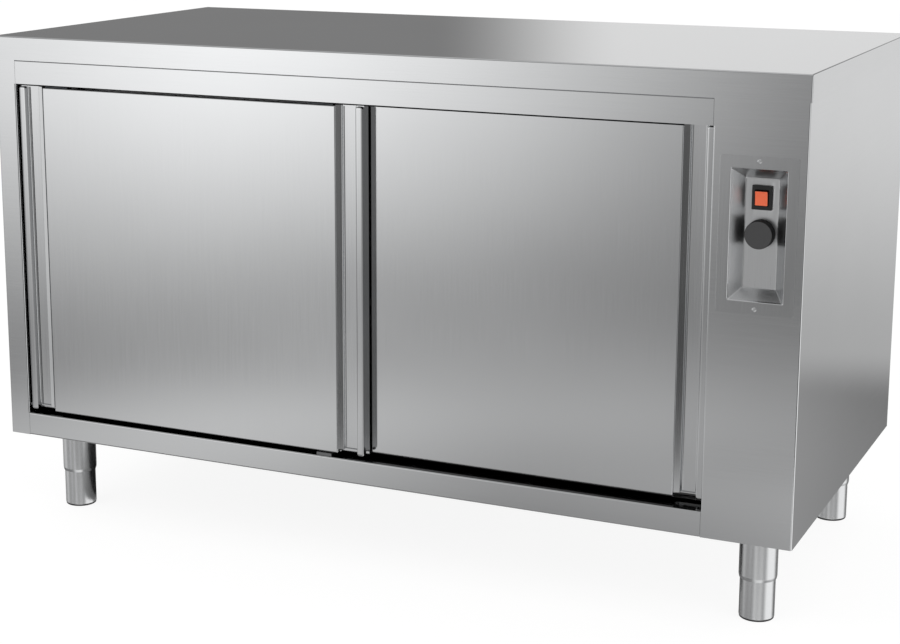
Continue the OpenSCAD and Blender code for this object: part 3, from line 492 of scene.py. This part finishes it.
def roundedRings(rings, steps=8, cuts=()):
    # Rings of (width, height, corner radius, level). A corner's points are its centre plus
    # radius * (cos a, sin a); cuts are shares of a straight side's half that get a point too.
    w, h, r, level = (np.array(rings, float)[:, i:i + 1] for i in range(4))
    r = np.minimum(r, np.minimum(w, h) / 2)
    a = np.linspace(0, math.pi / 2, steps + 1)
    cut = np.array(sorted(set(cuts) | {-c for c in cuts}))
    u, v = [], []
    for quarter, (su, sv) in enumerate([(1, 1), (-1, 1), (-1, -1), (1, -1)]):
        turned = a + quarter * math.pi / 2
        u.append(su * (w / 2 - r) + r * np.cos(turned))
        v.append(sv * (h / 2 - r) + r * np.sin(turned))
        if len(cut) and quarter % 2 == 0:       # along the side to the next corner
            run = -su * cut[None, :] * (w / 2 - r)
            u.append(run)
            v.append(sv * h / 2 * np.ones_like(run))
        elif len(cut):
            run = -sv * cut[None, :] * (h / 2 - r)
            u.append(su * w / 2 * np.ones_like(run))
            v.append(run)
    u, v = np.concatenate(u, 1), np.concatenate(v, 1)
    grid = np.stack([u, v, level * np.ones_like(u)], -1)
    return np.concatenate([grid, grid[:, :1]], axis=1)      # back to the first point


def arc(start, end, count, first):
    # points of a quarter ellipse from start to end, which leaves start along axis first
    t = np.linspace(0, math.pi / 2, count)
    (a, b), (c, d) = start, end
    if first == 0:
        return [(a + (c - a) * math.sin(s), b + (d - b) * (1 - math.cos(s))) for s in t]
    return [(a + (c - a) * (1 - math.cos(s)), b + (d - b) * math.sin(s)) for s in t]


def turnedRings(profile, count, centre=(0, 0, 0)):
    # a profile of (radius r, height) turned about the upright through centre: centre plus
    # (r * cos a, r * sin a, height)
    r, z = (np.array(profile, float)[:, i:i + 1] for i in range(2))
    a = np.linspace(0, 2 * math.pi, count + 1)[None, :]
    return np.stack([centre[0] + r * np.cos(a), centre[1] + r * np.sin(a),
                     centre[2] + z * np.ones_like(a)], -1)


def lay(grid, origin, right, up, out):
    # a grid laid out from origin: origin plus u * right + v * up + level * out
    return np.array(origin, float) + grid @ np.array([right, up, out], float)


def carried(curve, levels):
    # the same curve of (x, y) at each level
    return np.stack([np.column_stack([curve, np.full(len(curve), z)]) for z in levels])


handleShape = {
    "lipWidth": 13.6, "lipDepth": 7, "lipCorner": 4.5,
    "lipShort": 1,                  # the lip's upper end under the door's
    "crown": 7,                     # 2 gives a round lip, more a flatter one
    "scoopWidth": 24.4, "scoopDepth": 8.5, "scoopRadius": 3,
    "drop": 3, "shoulder": 1.5,     # the strip starts this far back, behind a round shoulder
    "rise": 7.5,                    # the section's lower end over the lip's
    "stop": 1.5, "stopDepth": 11, "stopCorner": 0.4,    # plates that close the scoop's ends
    "stopOver": 1, "stopBack": 7,   # how far they reach past its sides, and their middle
    "lipSteps": 12, "scoopSteps": 9, "shoulderSteps": 8,
}


def handleGrids(shape, size):
    # The lip is a pillow: at an inset i from its edge it stands back from the crown by
    # depth * (1 - (1 - (1 - i / half) ** crown) ** (1 / crown)). Behind it one section runs
    # upright: scoop wall, round floor, wall, shoulder and the strip that slopes to the panel.
    width, depth, high = size
    lip, half, crown = shape["lipWidth"], shape["lipWidth"] / 2, shape["crown"]
    lipHigh = high - shape["lipShort"]
    share = np.sin(np.linspace(0, math.pi / 2, shape["lipSteps"]))
    back = shape["lipDepth"] * (1 - (1 - (1 - share) ** crown) ** (1 / crown))
    rings = [(0, 0, 0, shape["lipDepth"])]
    rings += [(lip - 2 * i, lipHigh - 2 * i, max(shape["lipCorner"] - i, 0.1), b)
              for i, b in zip(half * share, back)]
    pillow = lay(roundedRings(rings), (half, 0, lipHigh / 2), (1, 0, 0), (0, 0, 1), (0, 1, 0))

    side = lip + shape["scoopWidth"]
    length = math.hypot(width - side, shape["drop"])
    nx, ny = shape["drop"] / length, (width - side) / length        # across the sloping strip
    r, deep, shoulder = shape["scoopRadius"], shape["scoopDepth"], shape["shoulder"]
    cx, cy = side + shoulder, shape["drop"] + shoulder * (1 - nx) / ny
    t = np.linspace(0, math.pi / 2, shape["scoopSteps"])
    turn = math.pi + np.linspace(0, math.atan2(ny, nx), shape["shoulderSteps"])
    hidden = shape["lipDepth"] - 1      # the section starts behind the lip
    xs = np.concatenate([[0, lip], lip + r - r * np.cos(t), side - r + r * np.sin(t),
                         cx + shoulder * np.cos(turn), [width]])
    ys = np.concatenate([[hidden, hidden], deep - r + r * np.sin(t), deep - r + r * np.cos(t),
                         cy + shoulder * np.sin(turn), [0]])
    front = np.stack([xs, ys], -1)
    behind = np.stack([xs, np.full_like(xs, depth)], -1)
    ends = (shape["rise"], high)
    grids = [pillow, carried(np.concatenate([front, behind[::-1], front[:1]]), ends)]
    grids += [np.concatenate([carried(front, [z]), carried(behind, [z])]) for z in ends]

    wide = shape["scoopWidth"] + 2 * shape["stopOver"]
    plate = (wide, shape["stopDepth"], shape["stopCorner"])
    rings = [(0, 0, 0, 0), (*plate, 0), (*plate, shape["stop"]), (0, 0, 0, shape["stop"])]
    for z in (ends[0], ends[1] - shape["stop"]):
        middle = (lip + wide / 2 - shape["stopOver"], cy + shape["stopBack"], z)
        grids.append(lay(roundedRings(rings, 3), middle, (1, 0, 0), (0, 1, 0), (0, 0, 1)))
    return grids


def buildHandles(shape):
    # each handle is built from its lip to the panel, mirrored where the lip is on the right
    for door, outer in (("left", 1), ("right", -1)):
        for which, way in (("outer", outer), ("inner", -outer)):
            solid = f"{door}_door_{which}_handle"
            low, high = nodeBox(solid)
            edge = (low[0] if way == 1 else high[0], low[1], low[2])
            grids = [lay(g, edge, (way, 0, 0), (0, 1, 0), (0, 0, 1))
                     for g in handleGrids(shape, high - low)]
            surfacePiece(f"{door}_{which}_handle_profile", grids, steels["handleDrawn304"],
                         f"{door}_door", [solid])


buildHandles(handleShape)
print("handles made")

legShape = {
    "corners": ("front_left", "front_right", "rear_left", "rear_right"),
    "sleeve": 29.5, "foot": 27.3, "wall": 1.5,      # outer radii, and the tubes' wall
    "top": 151.2, "plate": 4,                       # the sleeve's closed upper end
    "end": 64, "taper": 4.5, "fit": 0.05,           # its lower end, and the foot's play in it
    "rolledLip": ((0.05, 0.6), (0.5, 0), (1.2, 0.5)),   # from the foot's radius and the end
    "bend": ((-0.25, -0.8), (-0.05, 0.4), (0, 1.6)),    # from sleeve radius and taper's top
    "stud": 6, "studSunk": 0.5, "studTop": 165.4,
    "footTop": 136, "footFloor": 3, "footEdge": 1.6,
    "pad": 2.4, "padInset": 0.6, "padEdge": 1,
    "turns": 96, "studTurns": 24,
}


def buildLegs(shape):
    # turned profiles of (radius, height); an eased corner is a quarter circle
    r, rf, wall, end = shape["sleeve"], shape["foot"], shape["wall"], shape["end"]
    low, top, cap = end + shape["taper"], shape["top"], shape["top"] - shape["plate"]
    sleeve = [(rf + a, end + b) for a, b in shape["rolledLip"]]
    sleeve += [(r + a, low + b) for a, b in shape["bend"]]
    sleeve += [(r, top), (0, top), (0, cap), (r - wall, cap), (r - wall, low),
               (rf + shape["fit"], low), sleeve[0]]
    sunk = top - shape["studSunk"]
    stud = [(0, sunk), (shape["stud"], sunk), (shape["stud"], shape["studTop"]),
            (0, shape["studTop"])]
    e, pad, inner = shape["footEdge"], shape["pad"], shape["pad"] + shape["footFloor"]
    foot = [(0, pad), *arc((rf - e, pad), (rf, pad + e), 8, 0), (rf, shape["footTop"]),
            (rf - wall, shape["footTop"]), (rf - wall, inner), (0, inner)]
    e, rp = shape["padEdge"], rf - shape["padInset"]
    sole = [(0, 0), *arc((rp - e, 0), (rp, e), 4, 0), (rp, pad), (0, pad)]

    middles = {}
    for corner in shape["corners"]:
        x, y, _ = sum(nodeBox(f"foot_{corner}")) / 2
        middles[corner] = (x, y, 0)
    grids = [turnedRings(sleeve, shape["turns"], middle) for middle in middles.values()]
    grids += [turnedRings(stud, shape["studTurns"], middle) for middle in middles.values()]
    surfacePiece("leg_sleeve_tubes", grids, steels["legTube304"], "cabinet",
                 ["leg_sleeves"])
    for corner, middle in middles.items():
        surfacePiece(f"foot_tube_{corner}", [turnedRings(foot, shape["turns"], middle)],
                     steels["legTube304"], f"foot_{corner}", [f"foot_{corner}"])
        surfacePiece(f"foot_sole_{corner}", [turnedRings(sole, shape["turns"], middle)],
                     plastics["padPolyethylene"], f"foot_{corner}",
                     [f"pad_{corner}"])


buildLegs(legShape)
print("legs made")

dishShape = {
    "sheet": 1.2, "corner": 3, "edgeBand": 0.6,         # thickness and edge of the plate
    "mouth": (83, 194, 2), "floor": (50, 162, 1.5),     # width, height, corner radius
    "ease": 0.7, "mouthFlat": 0.8, "floorRound": 3, "steps": 6,
    "switchHole": (13.5, 37, 68),   # half width, lower and upper end over the middle
    "spindleHole": 5.5,             # half width
}
plateLow, plateHigh = nodeBox("control_plate")
plateMiddle = (plateLow + plateHigh) / 2
dishFloor = plateHigh[1] - dishShape["sheet"]       # y of the floor's front


def dishGrids(shape):
    # One pressed skin: rings shrink from the plate's edge over the eased mouth, down the
    # sloping walls and round into the floor. A ring at the share s of a stretch has the
    # stretch's two sizes weighted by 1 - s and s. Its level falls by ease * s ** 3 * (3 - 2 * s)
    # at the mouth, evenly down the wall, and by ease * (1 - (1 - s) ** 2) into the floor.
    width, _, height = plateHigh - plateLow
    corner, band = shape["corner"], shape["edgeBand"]
    mouth, floor = np.array(shape["mouth"], float), np.array(shape["floor"], float)
    depth, e = dishFloor - plateLow[1], shape["ease"]
    shrink = mouth - floor
    upper = (*(mouth - shrink * e / depth), e)
    lower = (*(mouth - shrink * (1 - e / depth)), depth - e)
    around = 2 * e + shape["mouthFlat"]
    rings = [(width, height, corner, 0), (width - band, height - band, corner, 0),
             (mouth[0] + around, mouth[1] + around, mouth[2] + e, 0)]
    shares = np.linspace(0, 1, shape["steps"])
    for s in shares[:-1]:
        w, h = mouth[:2] + 2 * e * (1 - s) - shrink[:2] * e / depth * s
        rings.append((w, h, mouth[2] + e * (1 - s), e * s ** 3 * (3 - 2 * s)))
    rings += [upper, lower]
    flat = floor[:2] - shape["floorRound"]
    for s in shares[1:]:
        w, h = np.array(lower[:2]) * (1 - s) + flat * s
        rings.append((w, h, lower[2], lower[3] + e * (1 - (1 - s) ** 2)))
    inner = floor[:2] - 2 * shape["floorRound"]
    rings.append((*inner, 0, depth))

    # the floor is a grid whose lines run along the edges of the openings
    half, (wide, low, high), spindle = inner / 2, shape["switchHole"], shape["spindleHole"]
    cuts = sorted({spindle / half[0], wide / half[0], spindle / half[1], low / half[1],
                   high / half[1]})
    lines = np.array([-1, *(-c for c in cuts[::-1]), *cuts, 1])
    xs, zs = lines * half[0], lines * half[1]
    x, z = np.meshgrid(xs, zs)
    flatGrid = np.stack([x, z, np.full_like(x, depth)], -1)
    x, z = np.meshgrid((xs[1:] + xs[:-1]) / 2, (zs[1:] + zs[:-1]) / 2)
    inSwitch = (abs(x) < wide) & (z > low) & (z < high)
    inSpindle = (abs(x) < spindle) & (abs(z) < spindle)
    cells = [flatGrid[i:i + 2, k:k + 2] for i, k in np.argwhere(~(inSwitch | inSpindle))]
    origin = (plateMiddle[0], plateLow[1], plateMiddle[2])
    return [lay(g, origin, (1, 0, 0), (0, 0, 1), (0, 1, 0))
            for g in [roundedRings(rings, 6, cuts), *cells]]


def buildDish(shape):
    dish = surfacePiece("control_dish", dishGrids(shape), steels["dishPressed304"], "cabinet",
                        ["control_plate"], sharp=60)
    wall = dish.modifiers.new("sheet", "SOLIDIFY")
    wall.thickness, wall.offset = shape["sheet"] * mm, -1
    dish.modifiers.move(1, 0)       # the wall comes before the weighted normals


switchShape = {
    "up": 52.5,                                 # over the plate's middle
    "bezel": (29.4, 35.4), "bezelOut": 3.5, "bezelEdge": 1,
    "body": (25, 31), "bodyDepth": 22, "bodyCorner": 0.5,
    "opening": (19.8, 22.4), "openingDepth": 14, "openingCorner": 0.6, "openingEdge": 0.8,
    "rocker": (19, 21.4), "rockerCorner": 1.2, "rockerEdge": 1, "rockerHeel": 1,
    "front": 5.6, "back": 6,                    # of the rocker, from its pivot
    "hollow": 1.2, "restTilt": 6, "pivotOut": 0.5,
}


def buildBezel(shape):
    # rings from the back of the switch's body forward, over the eased frame, into the opening
    (bw, bh), out, e = shape["bezel"], shape["bezelOut"], shape["bezelEdge"]
    w, h, r, deep = *shape["body"], shape["bodyCorner"], shape["bodyDepth"]
    rings = [(0, 0, 0, deep), (w, h, r, deep), (w, h, r, 0), (bw, bh, e, 0)]
    rings += [(bw - 2 * a, bh - 2 * a, e, -b) for a, b in arc((0, out - e), (e, out), 6, 1)]
    (w, h), r, e = shape["opening"], shape["openingCorner"], shape["openingEdge"]
    rings += [(w + 2 * a, h + 2 * a, r + a, -b) for a, b in arc((e, out), (0, out - e), 5, 0)]
    rings += [(w, h, r, shape["openingDepth"]), (0, 0, 0, shape["openingDepth"])]
    place = (plateMiddle[0], dishFloor, plateMiddle[2] + shape["up"])
    grid = lay(roundedRings(rings, 5), place, (1, 0, 0), (0, 0, 1), (0, 1, 0))
    surfacePiece("switch_bezel", [grid], plastics["switchPolyamideBlack"], "cabinet",
                 ["switch_frame"])


def buildRocker(shape):
    # a rounded slab whose face is hollowed by hollow * (z / half) ** 2, and then tilted
    (w, h), r, front = shape["rocker"], shape["rockerCorner"], shape["front"]
    e, back = shape["rockerEdge"], shape["back"]
    heel = h - 2 * shape["rockerHeel"]
    rings = [(0, 0, 0, back), (w, heel, r, back), (w, h, r, 0)]
    rings += [(w - 2 * a, h - 2 * a, r, b) for a, b in arc((0, e - front), (e, -front), 5, 1)]
    shares = (0.8, 0.6, 0.4, 0.2)
    rings += [(w * s, h * s, r * s, -front) for s in (*shares, 0)]
    slab = roundedRings(rings, 5, shares)
    hollowed = np.where(slab[..., 2] < 0, shape["hollow"] * (2 * slab[..., 1] / h) ** 2, 0)
    y, z = slab[..., 2] - hollowed, slab[..., 1]
    t = math.radians(shape["restTilt"])
    slab = np.stack([slab[..., 0], z * math.cos(t) + y * math.sin(t),
                     y * math.cos(t) - z * math.sin(t)], -1)
    place = (plateMiddle[0], dishFloor - shape["pivotOut"], plateMiddle[2] + shape["up"])
    surfacePiece("switch_rocker_lens", [lay(slab, place, (1, 0, 0), (0, 0, 1), (0, 1, 0))],
                 plastics["rockerPolycarbonate"], "rocker",
                 ["switch_rocker"])


knobShape = {
    "radius": 21, "height": 15.6, "gap": 0.6,       # the gap is to the dish's floor
    "draft": 0.4, "skirtEdge": 0.5, "edge": 1.4,
    "bore": 3, "boreDepth": 12.6, "boreEdge": (0.4, 1.5),
    "rim": 3.2, "rimSlope": 0.8, "hollow": (0.25, 0.3),     # beside the rim and in the middle
    "turns": 128,
}


def buildKnob(shape):
    # turned about Y: bore, skirt, slightly tapered side, eased edge and a hollowed face
    r, h, e, bore = shape["radius"], shape["height"], shape["edge"], shape["bore"]
    edge, wider, deeper = shape["skirtEdge"], *shape["boreEdge"]
    side, (beside, middle) = r - shape["draft"], shape["hollow"]
    rim = r - shape["rim"]
    profile = [(0, shape["boreDepth"]), (bore, shape["boreDepth"]), (bore, deeper),
               (bore + wider, 0), (r - edge, 0), (r, edge),
               *arc((side, h - e), (side - e, h), 8, 1),
               (rim, h), (rim - shape["rimSlope"], h - beside), (0, h - middle)]
    place = (plateMiddle[0], dishFloor - shape["gap"], plateMiddle[2])
    grid = lay(turnedRings(profile, shape["turns"]), place, (1, 0, 0), (0, 0, 1), (0, -1, 0))
    surfacePiece("knob_cap", [grid], plastics["knobPhenolic"], "knob", ["knob"])


screwShape = {
    "up": 108,                          # above and below the plate's middle
    "head": 3.4, "dome": 0.74, "power": 6,
    "arm": 0.45, "armSoft": 0.2, "armLength": 2, "endSoft": 0.25, "recess": 0.45,
    "shank": 2, "shankLength": 5.4,
    "fineTo": 2.1, "fineSteps": 12, "outerRings": (2.5, 3.0, 3.3), "turns": 64,
}


def buildPlateScrews(shape):
    # The head's height is dome * (1 - (r / head) ** power). Its cross recess is lower by
    # recess where |x| or |y| is under arm, within armLength of the middle.
    head, half, soft = shape["head"], shape["arm"], shape["armSoft"]
    r = np.array([*np.linspace(0, shape["fineTo"], shape["fineSteps"]), *shape["outerRings"],
                  head])[:, None]
    a = np.linspace(0, 2 * math.pi, shape["turns"] + 1)[None, :]
    x, y = r * np.cos(a), r * np.sin(a)
    dome = shape["dome"] * (1 - (r / head) ** shape["power"])
    arm = np.clip((half + soft / 2 - np.minimum(abs(x), abs(y))) / soft, 0, 1)
    arm = arm * np.clip((shape["armLength"] - r) / shape["endSoft"], 0, 1)
    face = np.stack([x, y, dome - shape["recess"] * arm], -1)
    shank = [(head, 0), (shape["shank"], 0), (shape["shank"], -shape["shankLength"]),
             (0, -shape["shankLength"])]
    parts = (face, turnedRings(shank, shape["turns"]))
    grids = []
    for side in (1, -1):
        place = (plateMiddle[0], plateLow[1], plateMiddle[2] + side * shape["up"])
        grids += [lay(g, place, (1, 0, 0), (0, 0, 1), (0, -1, 0)) for g in parts]
    surfacePiece("dish_screws", grids, steels["screwTurned304"], "cabinet",
                 ["plate_screws"])


buildDish(dishShape)
buildBezel(switchShape)
buildRocker(switchShape)
buildKnob(knobShape)
buildPlateScrews(screwShape)
print("controls made")

floorLook = {
    "reach": 30.0, "sunk": 0.0005,      # metres: half a side, and how far under the feet
    "paint": "F7F7F6",
    "white": 1.06, "whiteShare": 0.84,  # the rest is the paint, which holds the shadow
}


def buildFloor(look):
    mesh = bpy.data.meshes.new("floor")
    s = look["reach"]
    mesh.from_pydata([(-s, -s, 0), (s, -s, 0), (s, s, 0), (-s, s, 0)], [], [(0, 1, 2, 3)])
    floor = bpy.data.objects.new("floor", mesh)
    bpy.context.scene.collection.objects.link(floor)
    floor.location.z = -look["sunk"]
    material, tree = newMaterial("studioFloorPaint")
    rays = addNode(tree, "LightPath").node.outputs
    seen = addNode(tree, "Math", [rays["Is Camera Ray"], rays["Is Transmission Ray"]],
                   operation="MAXIMUM")
    share = addNode(tree, "Math", [seen, look["whiteShare"]], operation="MULTIPLY")
    matt = addNode(tree, "BsdfDiffuse", {"Color": linear(look["paint"])})
    white = addNode(tree, "Emission", {"Strength": look["white"]})
    both = addNode(tree, "MixShader", [share, matt, white])
    addNode(tree, "OutputMaterial", {"Surface": both})
    mesh.materials.append(material)
    floor.visible_glossy = False


# tone and outline in metres of the shaded floor under and before the cabinet
shades = {
    "deep": ("2C2C2C", [(-0.62, -0.20), (0.50, -0.24), (0.12, 0.08), (0.12, 0.33),
                        (-0.62, 0.33)]),
    "half": ("A8A8A8", [(-0.60, -0.20), (-0.48, -0.42), (0.05, -0.42), (0.10, -0.22)]),
}


def buildShades(patches):
    # seen by gloss alone, so that the polished legs mirror the shadow of the cabinet
    for name, (tone, outline) in patches.items():
        mesh = bpy.data.meshes.new(f"{name}Shade")
        mesh.from_pydata([(x, y, 0) for x, y in outline], [], [tuple(range(len(outline)))])
        shade = bpy.data.objects.new(f"{name}Shade", mesh)
        bpy.context.scene.collection.objects.link(shade)
        material, tree = newMaterial(f"{name}ShadedFloor")
        matt = addNode(tree, "BsdfDiffuse", {"Color": linear(tone)})
        addNode(tree, "OutputMaterial", {"Surface": matt})
        mesh.materials.append(material)
        shade.visible_camera = False
        shade.visible_diffuse = False
        shade.visible_shadow = False


lamps = {       # place and size in metres, power in watts
    "key": ((-2.2, -3.2, 3.4), 2.2, 36),
    "fill": ((3.4, -1.6, 2.6), 2.0, 16),
}
lampAim = Vector((0, 0, 0.5))


def buildLamps(setup, aim):
    for name, (place, size, power) in setup.items():
        data = bpy.data.lights.new(name, "AREA")
        data.size, data.energy = size, power
        lamp = bpy.data.objects.new(name, data)
        lamp.location = place
        lamp.rotation_euler = (aim - Vector(place)).to_track_quat("-Z", "Y").to_euler()
        lamp.visible_glossy = False
        lamp.visible_camera = False
        bpy.context.scene.collection.objects.link(lamp)


# What the steel sees is a dim room with soft cards. The room's tone goes by elevation. A card
# is azimuth, elevation, half width, half height and the softness of each, in degrees, and the
# level that it adds. Azimuth 0 looks towards -Y and 90 towards +X.
room = {
    "white": 1.0,         # for the camera, and through clear parts
    "plain": 0.86,        # for matt surfaces
    "tone": {-90: 0.34, -32: 0.21, -22: 0.09, -2: 0.205, 6: 0.215, 14: 0.25, 45: 0.42,
             90: 0.75},
    "cards": {
        "windowLeft": (-30.5, -1.6, 10.5, 9.3, 26, 13.6, 1.12),
        "windowFar": (-63, -1.6, 13, 9.3, 20, 13.6, 0.36),
        "floorBand": (-22, -16.8, 13.0, 1.2, 21, 7.6, 0.55),
        "floorFront": (14, -40, 26, 21.7, 36, 1, 0.54),
        "floorRight": (42, -40, 12, 21.7, 20, 1, 0.34),
        "floorLeft": (-57, -19.6, 30, 3.7, 13.5, 2.4, 0.32),
        "right": (99, -20, 34, 14, 30, 30, 0.98),
        "windowRight": (64, -4, 13, 12, 14, 16, 0.30),
        "frontWash": (-2, -8, 7, 16, 10, 12, 0.24),
        "darkFront": (13, -6, 9, 12, 8, 8, -0.055),
        "farLeft": (-96, 4, 28, 22, 24, 16, 0.60),
        "backWall": (160, -18.5, 8, 3.5, 5, 2, 0.15),
        "backLow": (179.5, -20, 21, 5, 6, 6, 0.09),
        "backSweep": (179.5, -3, 22, 12, 6, 1.5, 0.28),
        "backGlow": (179.5, 0, 22, 11, 6, 9, 0.28),
    },
}


def buildRoom(setup):
    # White for the camera and through clear parts, one plain level for matt surfaces. For
    # gloss the cards add to the room's tone, which gives the steel its bands. A card adds its
    # share along azimuth times its share along elevation, each 1 inside and 0 outside.
    world = bpy.data.worlds.new("studio")
    bpy.context.scene.world = world
    world.use_nodes = True
    world.cycles.sampling_method = "NONE"
    tree = world.node_tree
    tree.nodes.clear()
    way = addNode(tree, "SeparateXYZ", [addNode(tree, "TexCoord")]).node.outputs
    forward = addNode(tree, "Math", [way[1], -1.0], operation="MULTIPLY")
    angle = addNode(tree, "Math", [way[0], forward], operation="ARCTAN2")
    azimuth = addNode(tree, "Math", [angle], operation="DEGREES")
    angle = addNode(tree, "Math", [way[2]], operation="ARCSINE")
    elevation = addNode(tree, "Math", [angle], operation="DEGREES")
    share = addNode(tree, "MapRange", [elevation, -90.0, 90.0, 0.0, 1.0])
    total = addNode(tree, "ValToRGB", [share])
    stops = total.node.color_ramp.elements
    for n, (height, tone) in enumerate(sorted(setup["tone"].items())):
        place = (height + 90) / 180
        stop = stops[n] if n < 2 else stops.new(place)      # kept in rising order
        stop.position = place
        stop.color = (tone, tone, tone, 1)
    total = addNode(tree, "SeparateColor", [total])
    for a, e, halfA, halfE, softA, softE, adds in setup["cards"].values():
        turn = addNode(tree, "Math", [azimuth, float(a)], operation="SUBTRACT")
        turn = addNode(tree, "Math", [turn, 180.0, -180.0], operation="WRAP")
        rise = addNode(tree, "Math", [elevation, float(e)], operation="SUBTRACT")
        level = adds
        for offset, half, soft in ((turn, halfA, softA), (rise, halfE, softE)):
            size = addNode(tree, "Math", [offset], operation="ABSOLUTE")
            near = addNode(tree, "MapRange", [size, half - soft / 2, half + soft / 2, 1.0, 0.0],
                           interpolation_type="SMOOTHSTEP")
            level = addNode(tree, "Math", [near, level], operation="MULTIPLY")
        total = addNode(tree, "Math", [total, level], operation="ADD")
    rays = addNode(tree, "LightPath").node.outputs
    lit = addNode(tree, "Mix", {0: rays["Is Glossy Ray"], 2: setup["plain"], 3: total})
    clear = addNode(tree, "Math", [rays["Is Camera Ray"], rays["Is Transmission Ray"]],
                    operation="MAXIMUM")
    shown = addNode(tree, "Mix", {0: clear, 2: lit, 3: setup["white"]})
    sky = addNode(tree, "Background", {"Color": (1, 1, 1, 1), "Strength": shown})
    addNode(tree, "OutputWorld", {"Surface": sky})


buildFloor(floorLook)
buildShades(shades)
buildLamps(lamps, lampAim)
buildRoom(room)
bpy.context.scene.view_settings.view_transform = "Standard"
print("studio made")
